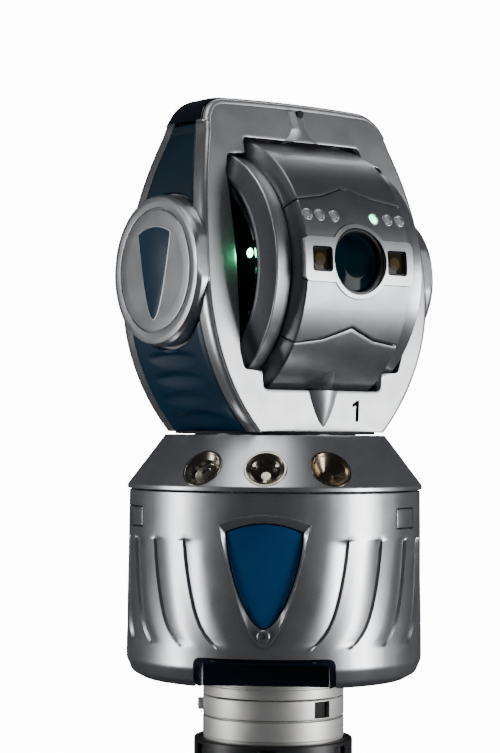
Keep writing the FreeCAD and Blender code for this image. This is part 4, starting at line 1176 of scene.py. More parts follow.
    def liner(self) -> None:
        """Build the dark frame of the recess, hollow towards the front and the floor."""
        outer = block((-49.9, -103.0, 68.2), (49.9, -75.2, 89.9), 4.5, 5)
        inner = block((-45.6, -140, 40), (45.6, -79.0, 85.6), 2.0, 3)
        frame = carve(turned(outer, self.turn), [turned(inner, self.turn)])
        keep_inside = lathe([(self.foot_radius + 60, 60), (self.foot_radius + 60, 95),
                             (self.radius - 0.4, 95),
                             (self.radius - 0.4, 84), (self.foot_radius + 8.0, 74.0),
                             (self.foot_radius + 0.5, 68.4),
                             (self.foot_radius + 0.5, 60)], 96)
        frame = carve(frame, [keep_inside])
        Piece("recess_frame", frame, self.finishes.shaded_recess_navy, Body.BASE, ["recess_liner"], "navy_panel")

    def beside(self, shape: Callable[[], Mesh]) -> list[Mesh]:
        """Make a shape twice and turn it to the two lids' bearings."""
        return [turned(shape(), side * self.lid_bearing + self.turn) for side in (-1, 1)]

    def lids(self) -> None:
        """Build the two small lids, set in flush with the wall, over dark gaps."""
        front = -self.top_radius
        floors = self.beside(lambda: block((-14.2, front + 3.0, 178.3), (14.2, front + 5.4, 194.3)))
        Piece("lid_gaps", combined(*floors), self.finishes.gap, Body.BASE)
        parts = self.beside(lambda: block((-12.9, front - 0.1, 179.6), (12.9, front + 2.2, 193.0), 0.5))
        for vert in [vert for part in parts for vert in part.verts]:
            flat = Vector((vert.co.x, vert.co.y))
            depth = flat.length
            bearing = math.degrees(math.atan2(flat.x, -flat.y)) - self.turn
            lead = math.cos(math.radians((abs(bearing) % 360) - self.lid_bearing))
            scale = self.radius_at(vert.co.z) / self.top_radius
            straight = depth * lead
            vert.co.x = flat.x / depth * straight * scale
            vert.co.y = flat.y / depth * straight * scale
        Piece("wall_lids", combined(*parts), self.finishes.silver, Body.BASE, ["access_covers"],
              "silver_paint")

    def sockets(self) -> None:
        """Build the rear plate and its three round sockets."""
        plate = block((-44.8, 90.0, 96.2), (44.8, 98.6, 139.8), 2.0)
        holes = []
        rings = []
        pins = []
        for place in (-28.0, 0.0, 28.0):
            across = Matrix.Translation((place, 0, 118)) @ Matrix.Rotation(math.pi, 4, "Z")
            holes.append(moved(post(9.0, 80, 130), across))
            shell = softened([(6.6, 94, 0.3), (8.9, 94, 0.3), (8.9, 103.5, 0.8), (6.6, 103.5, 0.8)])
            ring = lathe(shell, 48)
            rings.append(moved(turned(ring, 90, "X"), across))
            pins.append(moved(post(6.5, 93, 97.5, 0.4), across))
            for index in range(5):
                angle = math.tau * index / 5
                spot = Matrix.Translation((3.4 * math.cos(angle), 0, 3.4 * math.sin(angle)))
                pins.append(moved(post(0.6, 97, 101, 0.3, 12), across @ spot))
        plate = turned(carve(plate, holes), self.turn)
        Piece("socket_plate", plate, self.finishes.matte_black, Body.BASE, ["connector_panel"],
              "socket_black")
        group = turned(combined(*rings), self.turn)
        Piece("socket_rings", group, self.finishes.steel, Body.BASE, ["rear_sockets"], "socket_black")
        Piece("socket_pins", turned(combined(*pins), self.turn), self.finishes.matte_black, Body.BASE)

    def build(self) -> None:
        """Build every piece of the casing."""
        self.housing()
        self.badge()
        self.liner()
        self.lids()
        self.sockets()


@dataclass
class Collar:
    """Sloping collar with its three reflector nests."""

    finishes: Finishes
    turn: float = -41.0
    seat: float = 205.9
    lip: float = 209.0
    top: float = 245.5
    radius: float = 109.0
    top_radius: float = 81.3
    mouth: float = 63.2
    nest_radius: float = 15.25
    nest_height: float = 222.0
    nest_spread: float = 27.2

    def nest_matrix(self, side: int) -> Matrix:
        """Stand +Z square on the slope at one nest.

        Args:
            side: -1, 0 or 1 for the left, middle and right nest.

        Returns:
            The placing matrix.
        """
        run = self.radius - self.top_radius
        rise = self.top - self.lip
        reach = self.radius - (self.nest_height - self.lip) * run / rise
        tilt = math.atan2(rise, run)
        bearing = Matrix.Rotation(math.radians(self.turn + side * self.nest_spread), 4, "Z")
        return bearing @ Matrix.Translation((0, -reach, self.nest_height)) @ Matrix.Rotation(tilt, 4, "X")

    def cover(self) -> None:
        """Turn the collar and bore the nests' seats."""
        profile = softened([
            (100.5, self.seat, 0.3), (self.radius, self.seat, 0.8), (self.radius, self.lip, 2.2),
            (self.top_radius, self.top, 1.6), (self.mouth, self.top, 0.6),
            (self.mouth, self.top - 3.5, 0.4),
            (self.top_radius - 2.5, self.top - 3.5, 1.0), (self.radius - 4.5, self.lip, 1.0),
            (100.5, self.lip, 0.4),
        ], steps=6)
        bores = []
        for side in (-1, 0, 1):
            bore = lathe([(0, -16), (self.nest_radius + 0.15, -16), (self.nest_radius + 0.15, 6), (0, 6)],
                         72)
            bores.append(moved(bore, self.nest_matrix(side)))
        Piece("collar", carve(lathe(profile, 240), bores), self.finishes.silver, Body.BASE,
              ["collar_cover"],
              "silver_paint")

    def cup(self, name: str, side: int, hollow: Sequence[Corner], finish: Material) -> None:
        """Turn one nest and stand it in the slope.

        Args:
            name: The CAD node that it stands for.
            side: -1, 0 or 1 for the left, middle and right nest.
            hollow: Corners of its hollow from the rim to the middle.
            finish: Material.
        """
        profile = softened([(0, -13, 0), (self.nest_radius, -13, 0.3), (self.nest_radius, 0.1, 0.5),
                            *hollow])
        Piece(name + "_cup", moved(lathe(profile, 96), self.nest_matrix(side)), finish, Body.BASE, [name],
              "polished_steel")

    def nests(self) -> None:
        """Build the three nests, each for its own size of ball."""
        flat = [(13.6, 0.1, 0.4), (12.6, -1.2, 0.6), (9.6, -3.6, 1.0), (8.4, -6.6, 0.8), (4.4, -7.0, 0.3),
                (4.4, -8.0, 0.2),
                (0, -8.0, 0)]
        ball = [(13.6, 0.1, 0.4), (12.4, -0.9, 0.5), (10.4, -2.0, 1.0), (8.4, -5.4, 3.0), (4.6, -8.0, 0.5),
                (3.4, -8.6, 0.2), (0, -8.6, 0)]
        cone = [(13.6, 0.1, 0.4), (13.0, -0.6, 0.4), (11.6, -1.4, 0.5), (4.4, -9.0, 0.4), (0, -9.6, 0)]
        self.cup("nest_left", -1, flat, self.finishes.polished)
        self.cup("nest_middle", 0, ball, self.finishes.polished)
        self.cup("nest_right", 1, cone, self.finishes.brown_reflection_nest)
        pads = []
        for index in range(3):
            pad = lathe(softened([(0, -4.4, 0), (1.7, -4.4, 0.2), (1.7, -2.6, 0.5), (0, -2.6, 0)]), 24)
            spot = Matrix.Rotation(math.tau * (index + 0.25) / 3, 4, "Z") @ Matrix.Translation((9.3, 0, 0))
            pads.append(moved(pad, self.nest_matrix(0) @ spot))
        Piece("nest_middle_pads", combined(*pads), self.finishes.polished, Body.BASE)

    def build(self) -> None:
        """Build the collar and the nests."""
        self.cover()
        self.nests()


# ------------------------------------------------------------------------------ yoke


@dataclass
class YokeForm:
    """The yoke's barrel outline and its depth, as functions of height."""

    floor: float = 247.5
    waist: float = 355.0
    waist_half: float = 99.5
    upper_radius: float = 342.0
    lower_radius: float = 155.0
    shoulder: float = 473.0
    crown: float = 484.6
    corner_start: float = 462.0
    corner_run: float = 16.0
    depth_half: float = 57.2
    depth_waist: float = 300.0
    depth_radius: float = 484.5
    axis: float = 362.5

    def half_width(self, height: float) -> float:
        """Half the width of the face at a height, with its rounded upper corners."""
        if height > self.corner_start:
            start = self.half_width(self.corner_start)
            knee = (start - 2.7, self.crown - 1.0)
            part = min(1.0, max(0.0, (height - self.corner_start) / (self.crown - self.corner_start)))
            for _ in range(24):
                up = bowed(self.corner_start, knee[1], self.crown, part)
                part = min(1.0, max(0.0, part + (height - up) / 44.0))
            return bowed(start, knee[0], knee[0] - self.corner_run, part)
        radius = self.upper_radius if height > self.waist else self.lower_radius
        away = height - self.waist
        return self.waist_half - radius + math.sqrt(radius**2 - away**2)

    def half_depth(self, height: float) -> float:
        """Half the depth of the casing at a height."""
        away = max(0.0, height - self.depth_waist)
        return self.depth_half - self.depth_radius + math.sqrt(self.depth_radius**2 - away**2)

    def right_edge(self) -> list[Point]:
        """Walk up the right edge of the face from its foot to the middle of the crown.

        Returns:
            (x, z) points.
        """
        heights = [mix(self.floor, self.waist, step / 26) for step in range(27)]
        heights += [mix(self.waist, self.corner_start, step / 22) for step in range(1, 23)]
        run = self.crown - self.corner_start
        heights += [self.corner_start + run * math.sin(step / 14 * math.pi / 2) for step in range(1, 15)]
        points = [(self.half_width(height), height) for height in heights]
        last = points[-1]
        for step in range(1, 9):
            part = step / 8
            points.append((mix(last[0], 0.0, part), mix(last[1], self.crown + 1.4, 1 - (1 - part) ** 2)))
        return points

    def outline(self) -> list[Point]:
        """Walk round the whole face anticlockwise, seen from the front."""
        right = self.right_edge()
        left = [(-across, up) for across, up in reversed(right[:-1])]
        foot = [(mix(left[-1][0], right[0][0], step / 12), self.floor) for step in range(1, 12)]
        return [*right, *left, *foot]


def ray_hit(loop: Sequence[Point], angle: float, centre: Point) -> Point:
    """Find where a ray from the centre crosses a loop.

    Args:
        loop: A closed loop round the centre.
        angle: Direction of the ray in radians.
        centre: Where the ray starts.

    Returns:
        The crossing point.
    """
    run, rise = math.cos(angle), math.sin(angle)
    best = (0.0, centre)
    for index in range(len(loop)):
        ax, ay = loop[index - 1][0] - centre[0], loop[index - 1][1] - centre[1]
        bx, by = loop[index][0] - centre[0], loop[index][1] - centre[1]
        cross = (bx - ax) * rise - (by - ay) * run
        if abs(cross) < 1e-12:
            continue
        part = (run * ay - rise * ax) / cross
        if -1e-9 <= part <= 1 + 1e-9:
            x, y = ax + part * (bx - ax), ay + part * (by - ay)
            reach = x * run + y * rise
            if reach > best[0]:
                best = (reach, (centre[0] + x, centre[1] + y))
    return best[1]


@dataclass
class YokeCasing:
    """Bezels, side shells, coloured panels, bosses and the cap over the bridge."""

    finishes: Finishes
    form: YokeForm = field(default_factory=YokeForm)
    window_radius: float = 102.0
    window_half: float = 54.0
    cheek_radius: float = 91.5
    cheek_half: float = 74.5
    side_thickness: float = 3.0
    strip: float = 13.0
    boss_radius: float = 56.0
    boss_face: float = 109.2
    cap_radius: float = 44.0
    scoop_half: float = 31.0
    scoop_depth: float = 2.3

    def window_edge(self, radius: float, side: int) -> float:
        """Height where the face meets a cylinder about the elevation axis.

        Args:
            radius: The cylinder's radius.
            side: 1 above the axis, -1 below it.

        Returns:
            Height in the frame.
        """
        away = radius * 0.85
        for _ in range(30):
            depth = self.form.half_depth(self.form.axis + side * away)
            away = math.sqrt(radius**2 - depth**2)
        return self.form.axis + side * away

    def window(self) -> list[Point]:
        """Walk round the drum's window anticlockwise, with its stepped cheeks.

        Returns:
            (x, z) points.
        """
        top = self.window_edge(self.window_radius, 1)
        foot = self.window_edge(self.window_radius, -1)
        cheek_top = self.window_edge(self.cheek_radius, 1)
        cheek_foot = self.window_edge(self.cheek_radius, -1)
        half, wide = self.window_half, self.cheek_half
        right = [
            (half, foot, 5.5), (half + 0.6, cheek_foot, 2.0), (wide - 4, cheek_foot + 1, 4.0),
            (wide, cheek_foot + 14, 8.0),
            (wide, cheek_top - 14, 8.0), (wide - 4, cheek_top - 1, 4.0), (half + 0.6, cheek_top, 2.0),
            (half, top, 5.5),
        ]
        left = [(-across, up, radius) for across, up, radius in reversed(right)]
        points = softened([*right, *left], steps=6)
        full: list[Point] = []
        for index, here in enumerate(points):
            after = points[(index + 1) % len(points)]
            gap = math.dist(here, after)
            pieces = max(1, int(gap / 5))
            full += [(mix(here[0], after[0], step / pieces),
                      mix(here[1], after[1], step / pieces)) for step in range(pieces)]
        return full

    def rings(self) -> tuple[list[Point], list[Point]]:
        """Match the window's points and the outline's points along rays from the middle.

        Returns:
            The window loop and the outline loop, with the same number of points.
        """
        centre = (0.0, self.form.axis)
        window = self.window()
        outline = self.form.outline()
        angles = {round(math.atan2(up - centre[1], across - centre[0]), 5) for across, up in window}
        angles |= {round(math.atan2(up - centre[1], across - centre[0]), 5) for across, up in outline}
        ordered = sorted(angles)
        kept = [ordered[0]]
        for angle in ordered[1:]:
            if angle - kept[-1] > 0.0035:
                kept.append(angle)
        hits = [[ray_hit(loop, angle, centre) for angle in kept] for loop in (window, outline)]
        return hits[0], hits[1]

    def on_face(self, point: Point, behind: float, face: int) -> Vector:
        """Put an outline point on the curved face.

        Args:
            point: (x, z) of the point.
            behind: Distance behind the face.
            face: -1 for the front, 1 for the rear.

        Returns:
            The position.
        """
        across, up = point
        return Vector((across, face * (self.form.half_depth(up) - behind), up))

    def in_return(self, point: Point, behind: float, face: int) -> Vector:
        """Put a point of the window's edge behind the face, as far from the elevation axis as on the face.

        Args:
            point: (x, z) of the point.
            behind: Distance behind the face.
            face: -1 for the front, 1 for the rear.

        Returns:
            The position.
        """
        across, up = point
        away = up - self.form.axis
        if abs(away) < 60.0:
            return self.on_face(point, behind, face)
        reach = math.hypot(self.form.half_depth(up), away)
        height = up
        for _ in range(12):
            depth = self.form.half_depth(height) - behind
            height = self.form.axis + math.copysign(math.sqrt(reach**2 - depth**2), away)
        return self.on_face((across, height), behind, face)

    def bezel(self, name: str, node: str, face: int) -> None:
        """Build one face plate with a returned window edge and a soft outer edge.

        Args:
            name: Object name.
            node: The CAD node that it stands for.
            face: -1 for the front, 1 for the rear.
        """
        window, outline = self.rings()
        stack = [[self.in_return(point, 7.5, face) for point in window]]
        stack.append([self.in_return(point, 1.0, face) for point in window])
        spread = []
        for part in (0.012, 0.03):
            spread.append([tuple(Vector(a).lerp(Vector(b), part)) for a, b in zip(window, outline)])
        stack.append([self.on_face(point, 0.25, face) for point in spread[0]])
        stack.append([self.on_face(point, 0.0, face) for point in spread[1]])
        for part in (0.1, 0.2, 0.3, 0.4, 0.5, 0.6, 0.7, 0.8, 0.9):
            loop = [tuple(Vector(a).lerp(Vector(b), part)) for a, b in zip(window, outline)]
            stack.append([self.on_face(point, 0.0, face) for point in loop])
        for inset, behind in ((1.5, 0.0), (0.9, 0.1), (0.55, 0.5), (0.5, 4.4)):
            stack.append([self.on_face(point, behind, face) for point in offset_loop(outline, -inset)])
        for part in (0.7, 0.4):
            loop = [tuple(Vector(a).lerp(Vector(b), part)) for a, b in zip(window, outline)]
            stack.append([self.on_face(point, 4.4, face) for point in loop])
        stack.append([self.in_return(point, 7.5, face) for point in spread[1]])
        Piece(name, lofted(stack, True, True), self.finishes.lit_face_silver, Body.YOKE, [node], "silver_paint")

    def side_shell(self, side: Side) -> Mesh:
        """Build one side: rounded shoulders front and rear, strips, and a sunken floor for the panels.

        Args:
            side: Which side.

        Returns:
            The shell, closed.
        """
        heights = [mix(self.form.floor, self.form.shoulder, step / 70) for step in range(71)]
        stack = []
        for height in heights:
            wide = self.form.half_width(height)
            deep = self.form.half_depth(height)
            out = self.side_thickness
            half = [
                (wide - 4.0, deep - 5.0), (wide - 0.35, deep - 5.0), (wide - 0.3, deep - 0.9),
                (wide + 0.1, deep - 0.35),
                (wide + 0.9, deep - 0.6), (wide + 1.8, deep - 1.7), (wide + 2.5, deep - 3.4),
                (wide + 2.9, deep - 5.6),
                (wide + out, deep - 7.6), (wide + out, deep - self.strip + 0.4),
                (wide + out - 0.3, deep - self.strip),
                (wide + out - 3.6, deep - self.strip), (wide + out - 3.6, 0.0),
            ]
            section = [(x, -y) for x, y in half] + [(x, y) for x, y in reversed(half[:-1])]
            section += [(wide - 6.0, deep - 9.0), (wide - 6.0, 9.0 - deep)]
            stack.append([Vector((side.value * x, y, height)) for x, y in section])
        return capped(stack)

    def boss(self, side: Side) -> Mesh:
        """Turn the round boss that holds the side cap."""
        face = self.boss_face
        profile = softened([
            (30, 96, 0), (self.boss_radius - 1.4, 96, 0), (self.boss_radius - 1.8, face - 4.0, 1.0),
            (self.boss_radius - 3.2, face - 0.4, 1.2), (49.0, face, 1.5), (44.7, face - 0.2, 0.5),
            (44.7, face - 2.0, 0.2),
            (44.0, face - 2.0, 0.2), (30, face - 2.0, 0.2),
        ])
        mesh = self.on_axis(lathe(profile, 160), side)
        for vert in mesh.verts:
            room = self.form.half_depth(vert.co.z) - 0.5
            vert.co.y = max(-room, min(room, vert.co.y))
        return mesh

    def on_axis(self, mesh: Mesh, side: Side) -> Mesh:
        """Lay a turned mesh along the elevation axis at one side."""
        lay = Matrix.Translation((0, 0, self.form.axis)) @ Matrix.Rotation(side.value * math.pi / 2, 4, "Y")
        return moved(mesh, lay)

    def cap(self, side: Side) -> None:
        """Build one side cap and its shield inlay."""
        face = self.boss_face
        name = side.name.lower()
        profile = softened([
            (0, 99.6, 0), (self.cap_radius - 0.3, 99.6, 0.2), (self.cap_radius - 0.3, face + 0.1, 0.8),
            (36, face + 0.35, 6.0), (0, face + 0.5, 0),
        ], steps=6)
        Piece(f"end_cap_{name}", self.on_axis(lathe(profile, 128), side), self.finishes.silver, Body.YOKE,
              [f"side_cap_{name}"], "silver_paint")
        inlay = Shield(32.0, 27.0, 21.0, -36.0, 0.52)
        quarter = Matrix.Rotation(side.value * math.pi / 2, 4, "Z")
        place = Matrix.Translation((0, 0, self.form.axis)) @ quarter
        mesh = moved(slab(inlay.outline(0.9, 14, 10), face - 1.5, face + 0.78, 0.2), place)
        node = ["cap_inlays"] if side is Side.LEFT else []
        Piece(f"cap_shield_{name}", mesh, self.finishes.lower_navy, Body.YOKE, node, "navy_panel")
        mesh = moved(slab(inlay.outline(0.0, 14, 10), face - 1.5, face + 0.66, 0.3), place)
        Piece(f"cap_shield_rim_{name}", mesh, self.finishes.lit_face_silver, Body.YOKE, [], "silver_paint")

    def panel(self, side: Side, upper: bool) -> None:
        """Build one coloured panel between the strips, ending in the boss's arc.

        Args:
            side: Which side.
            upper: Whether it is the upper or the lower panel.
        """
        ring = self.boss_radius + 0.8
        columns, rows = 41, 121
        lift = self.side_thickness + 0.1

        def place(column: int, row: int) -> Vector:
            """Bend the panel, dipping its rim and pressing the finger scoops in."""
            share = -1.0 + 2.0 * column / (columns - 1)
            part = row / (rows - 1)
            height = self.form.axis
            for _ in range(12):
                room = self.form.half_depth(height) - self.strip - 0.45
                depth = share * room
                arc = math.sqrt(max(0.0, ring**2 - depth**2))
                near = self.form.axis + arc if upper else self.form.axis - arc
                end = self.form.shoulder - 4.0 if upper else self.form.floor + 0.2
                height = mix(near, end, part)
            border = min((1 - abs(share)) * room, part * abs(end - near),
                         1e9 if not upper else (1 - part) * (end - near))
            dip = 1.1 * (1 - ease(border / 0.9))
            press = 0.0 if upper else self.scoop(height, depth)
            out = self.form.half_width(height) + lift - dip - press
            return Vector((side.value * out, depth, height))

        mesh = mapped_grid(columns, rows, place)
        if side is Side.RIGHT and upper or side is Side.LEFT and not upper:
            bmesh.ops.reverse_faces(mesh, faces=mesh.faces)
        name = f"{'upper' if upper else 'lower'}_panel_{side.name.lower()}"
        finish = self.finishes.upper_navy if upper else self.finishes.lower_navy
        Piece(name + "_skin", thickened(mesh, 1.0), finish, Body.YOKE, [name],
              "dark_gloss" if upper else "navy_panel")

    def scoop(self, height: float, depth: float) -> float:
        """Depth of the finger scoops at a point of the lower panel."""
        pressed = 0.0
        for centre in (299.0, 284.5, 270.5, 257.0):
            fade = max(0.0, 1.0 - (depth / self.scoop_half) ** 2)
            tall = 7.2 * math.sqrt(fade)
            if tall < 0.2:
                continue
            part = (centre + tall - height) / (2 * tall)
            if 0.0 < part < 1.0:
                shape = ease(part / 0.24) * (1 - ease((part - 0.24) / 0.76))
                pressed = max(pressed, self.scoop_depth * fade * shape)
        return pressed

    def sides(self) -> None:
        """Build both side shells with their bosses, caps and panels."""
        for side in Side:
            shell = combined(self.side_shell(side), self.boss(side))
            Piece(f"side_shell_{side.name.lower()}", shell, self.finishes.silver, Body.YOKE,
                  [f"side_cover_{side.name.lower()}"], "silver_paint")
            self.cap(side)
            self.panel(side, True)
            self.panel(side, False)

    def over_top(self, name: str, rows: Sequence[Point], face: int, finish: Material,
                 node: Sequence[str], slot: str) -> None:
        """Sweep a section over the shoulders and the crown.

        Args:
            name: Object name.
            rows: (distance behind the face, lift off the face plate's edge) points of the closed section.
            face: -1 or 1 for a section at the front or the rear, 0 for one that spans both faces.
            finish: Material.
            node: The CAD node that it stands for.
            slot: The record's material slot.
        """
        path = [point for point in self.form.right_edge() if point[1] >= self.form.shoulder - 4.01]
        path += [(-across, up) for across, up in reversed(path[:-1])]
        outer = offset_open(path, 1.0)
        section = [(-behind, lift) for behind, lift in rows]
        stack = []
        for inner, away in zip(path, outer):
            deep = self.form.half_depth(min(inner[1], self.form.crown))
            back = Vector((inner[0], 0, inner[1]))
            way = Vector((away[0], 0, away[1])) - back
            if face:
                loop = [back + way * lift + Vector((0, face * (deep + place), 0)) for place,
                        lift in section]
            else:
                front = [back + way * lift + Vector((0, -(deep + place), 0)) for place, lift in section]
                rear = [back + way * lift + Vector((0, deep + place, 0)) for place,
                        lift in reversed(section)]
                loop = front + rear
            stack.append(loop)
        Piece(name, capped(stack), finish, Body.YOKE, node, slot)

    def crown(self) -> None:
        """Build the dark cap over the bridge and the bright rims that border it."""
        cap = [(6.0, -1.0), (4.4, -1.0), (4.4, 3.2), (4.8, 4.0), (5.8, 4.6), (9.0, 4.95)]
        self.over_top("crown_cap", cap, 0, self.finishes.dark_gloss, ["top_cap"], "dark_gloss")
        rim = [(4.6, -1.0), (0.2, -1.0), (0.2, 0.5), (0.45, 1.3), (1.1, 2.2), (2.2, 2.8), (3.6, 3.1),
               (4.6, 3.1)]
        self.over_top("rim_front", rim, -1, self.finishes.lit_face_silver, [], "silver_paint")
        self.over_top("rim_rear", rim, 1, self.finishes.lit_face_silver, [], "silver_paint")

    def ridges(self) -> None:
        """Build the two sight ridges on the front face."""
        top_foot = self.window_edge(self.window_radius, 1) + 0.4
        low_foot = self.window_edge(self.window_radius, -1) - 0.4
        self.ridge("upper_sight", top_foot, self.form.crown - 1.2 - top_foot, self.column_form)
        self.ridge("lower_sight", low_foot, -26.5, self.drop_form)
        bore = Matrix.Translation((0, 1.0 - self.form.half_depth(self.form.crown - 5),
                                   self.form.crown - 3.4))
        mesh = moved(post(2.9, 0, 6.6, 0.2, 32), bore)
        Piece("sight_bore", mesh, self.finishes.gap, Body.YOKE)

    def column_form(self, part: float) -> Point:
        """Half width and height of the upper ridge: a column on a flared foot."""
        flare = max(0.0, 1.0 - part / 0.42)
        return 7.4 + 8.6 * flare**1.5, 5.2 + 1.4 * flare

    def drop_form(self, part: float) -> Point:
        """Half width and height of the lower ridge: a drop that ends in a point."""
        return 14.0 * max(0.0, 1.0 - part) ** 0.62 + 0.05, 7.0 * max(0.0, 1.0 - part**1.8) + 0.3

    def ridge(self, name: str, foot: float, length: float, form: Callable[[float], Point]) -> None:
        """Build one sight ridge on the front face.

        Args:
            name: Object name.
            foot: Height where it starts at the window.
            length: How far it runs up, or down if negative.
            form: Gives its half width and height along its length.
        """
        columns, rows = 25, 25

        def place(column: int, row: int) -> Vector:
            """Raise a rounded section that follows the form."""
            part = row / (rows - 1)
            wide, high = form(part)
            share = -1.0 + 2.0 * column / (columns - 1)
            lift = high * (math.cos(share * math.pi / 2) ** 0.85) - 0.5
            return self.on_face((share * wide, foot + length * part), -lift, -1)

        mesh = mapped_grid(columns, rows, place)
        if length < 0:
            bmesh.ops.reverse_faces(mesh, faces=mesh.faces)
        Piece(name, thickened(mesh, 0.5), self.finishes.lit_face_silver, Body.YOKE, slot="silver_paint",
              sharp=40)

    def numeral(self) -> None:
        """Print the plain numeral of the first sighting face."""
        lean = 4.4
        outline = [(-0.9, 0), (1.9, 0), (1.9, 15.4), (-0.4, 15.4), (-4.4, 12.6), (-4.4, 10.2), (-0.9, 11.8)]
        mesh = bmesh.new()
        place = []
        for across, up in outline:
            place.append(self.on_face((31.0 + across + up * lean / 100, 255.5 + up), -0.06, -1))
        mesh.faces.new([mesh.verts.new(spot) for spot in place])
        Piece("face_numeral", thickened(mesh, 0.05), self.finishes.ink, Body.YOKE)

    def build(self) -> None:
        """Build the whole casing."""
        self.bezel("front_face", "front_bezel", -1)
        self.bezel("rear_face", "rear_bezel", 1)
        self.sides()
        self.crown()
        self.ridges()
        self.numeral()
        # A near-black ring under the yoke: painted contact shadow between the yoke and the collar.
        skirt = lathe([(58, 246.0), (74, 246.0), (74, self.form.floor + 0.4), (58, self.form.floor + 0.4)],
                      128)
        Piece("shadow_skirt_ring", skirt, self.finishes.gap, Body.YOKE)


def offset_open(points: Sequence[Point], distance: float) -> list[Point]:
    """Move an open line to its right-hand side.

    Args:
        points: The line.
        distance: How far to move it.

    Returns:
        The moved line.
    """
    result = []
    for index, here in enumerate(points):
        before = Vector(points[max(0, index - 1)])
        after = Vector(points[min(len(points) - 1, index + 1)])
        way = (after - before).normalized()
        result.append((here[0] + way.y * distance, here[1] - way.x * distance))
    return result


# ------------------------------------------------------------------------------ drum


@dataclass
class Drum:
    """Tilting drum: covers, brow, lens plate, optics, lamps and the dished end discs."""

    finishes: Finishes
    axis: float = 362.5
    pitch: float = 3.8
    radius: float = 98.5
    half: float = 51.5
    plate_half: float = 49.0
    plate_half_height: float = 16.0
    plate_bulge: float = 27.0
    lens_radius: float = 21.0
    camera_place: float = 34.0
    kink: float = 23.0
    lit_lamp: float = 18.0

    def placed(self, mesh: Mesh) -> Mesh:
        """Lift a mesh from the drum's own axis to the trunnion line and pitch it."""
        lift = Matrix.Translation((0, 0, self.axis)) @ Matrix.Rotation(math.radians(-self.pitch), 4, "X")
        return moved(mesh, lift)

    def spot(self, across: float, angle: float, radius: float) -> Vector:
        """Put a point on the drum.

        Args:
            across: Distance along the axis.
            angle: Degrees up from straight ahead.
            radius: Distance from the axis.

        Returns:
            The position in the drum's own frame.
        """
        turn = math.radians(angle)
        return Vector((across, -radius * math.cos(turn), radius * math.sin(turn)))

    def angle_at(self, height: float) -> float:
        """Angle up from straight ahead of a height on the drum's face."""
        return math.degrees(math.asin(height / self.radius))

    def brow_line(self, across: float) -> float:
        """Angle of the upper parting line at a place along the axis."""
        return self.peaked(across, 54.7, 46.9, 42.2)

    def chin_line(self, across: float) -> float:
        """Angle of the lower parting line at a place along the axis."""
        return self.peaked(across, -46.4, -54.5, -58.4)

    def peaked(self, across: float, peak: float, bend: float, end: float) -> float:
        """Follow a line that peaks in the middle and bends at the kinks.

        Args:
            across: Place along the axis.
            peak: Height in the middle.
            bend: Height at the kinks.
            end: Height at the drum's ends.

        Returns:
            The line's angle.
        """
        size = abs(across)
        if size < self.kink:
            height = mix(peak, bend, size / self.kink)
        else:
            height = mix(bend, end, (size - self.kink) / (self.half - self.kink))
        return self.angle_at(height)

    def section(self, across: float) -> float:
        """Radius of the drum at a place along its axis, with its coved ends."""
        edge = self.half - abs(across)
        if edge > 5.0:
            return self.radius
        part = max(0.0, edge / 5.0)
        return self.radius - 10.6 * (1 - part) ** 1.35

    def band(self, low: Callable[[float], float], high: Callable[[float], float], rows: int,
             gap: float = 0.35) -> Mesh:
        """Build a curved cover between two lines on the drum, with soft edges and thickness.

        Args:
            low: Angle of its lower edge at a place along the axis.
            high: Angle of its upper edge.
            rows: Faces between them.
            gap: Share of a degree left open at both edges.

        Returns:
            The cover in the drum's own frame.
        """
        ends = [self.half, self.half - 0.8, self.half - 1.7, self.half - 2.6, self.half - 3.4,
                self.half - 4.1,
                self.half - 4.6, self.half - 5.0]
        inner = [self.half - 7, 40, 34, 28.5, self.kink, 17.5, 11.5, 5.75]
        right = [*ends, *inner]
        places = sorted({-value for value in right} | {0.0} | set(right))
        edge = math.degrees(0.7 / self.radius)
        loops = []
        for across in places:
            bottom, top = low(across) + gap, high(across) - gap
            outside = [(bottom, 0.9), (bottom + edge * 0.3, 0.22), (bottom + edge, 0.0)]
            outside += [(mix(bottom + edge, top - edge, step / rows), 0.0) for step in range(1, rows)]
            outside += [(top - edge, 0.0), (top - edge * 0.3, 0.22), (top, 0.9)]
            inside = [(top, 4.5), *((mix(top, bottom, step / 8), 4.5) for step in range(1, 8)),
                      (bottom, 4.5)]
            radius = self.section(across)
            loops.append([self.spot(across, angle, radius - drop) for angle, drop in (*outside, *inside)])
        return capped(loops)

    def covers(self) -> None:
        """Build the upper, lower and rear covers and the brow between the peaked lines."""
        upper = self.band(self.brow_line, lambda across: 90.0, 40)
        Piece("cover_upper", self.placed(upper), self.finishes.shaded_drum_silver, Body.DRUM, ["drum_cover_upper"],
              "drum_paint")
        lower = self.band(lambda across: -90.0, self.chin_line, 40)
        Piece("cover_lower", self.placed(lower), self.finishes.shaded_drum_silver, Body.DRUM, ["drum_cover_lower"],
              "drum_paint")
        rear = self.band(lambda across: 90.0, lambda across: 270.0, 90)
        Piece("cover_rear", self.placed(rear), self.finishes.shaded_drum_silver, Body.DRUM, ["drum_cover_rear"],
              "drum_paint")
        brow = self.band(self.chin_line, self.brow_line, 70)
        cutters = [self.plate_cutter(), *self.lamp_cutters()]
        Piece("brow", self.placed(carve(brow, cutters)), self.finishes.shaded_drum_silver, Body.DRUM,
              ["brow_cover"], "drum_paint")

    def chin_ridge(self) -> None:
        """Raise the sight ridge that runs off the drum's lower cover."""
        columns, rows = 21, 13

        def place(column: int, row: int) -> Vector:
            """Widen and raise the ridge towards the window's edge."""
            part = row / (rows - 1)
            share = -1.0 + 2.0 * column / (columns - 1)
            wide = mix(3.0, 12.0, part**1.4)
            lift = mix(0.2, 3.4, part**1.3) * math.cos(share * math.pi / 2) ** 0.9 - 0.3
            return self.spot(share * wide, mix(-48.5, -61.0, part), self.radius + lift)

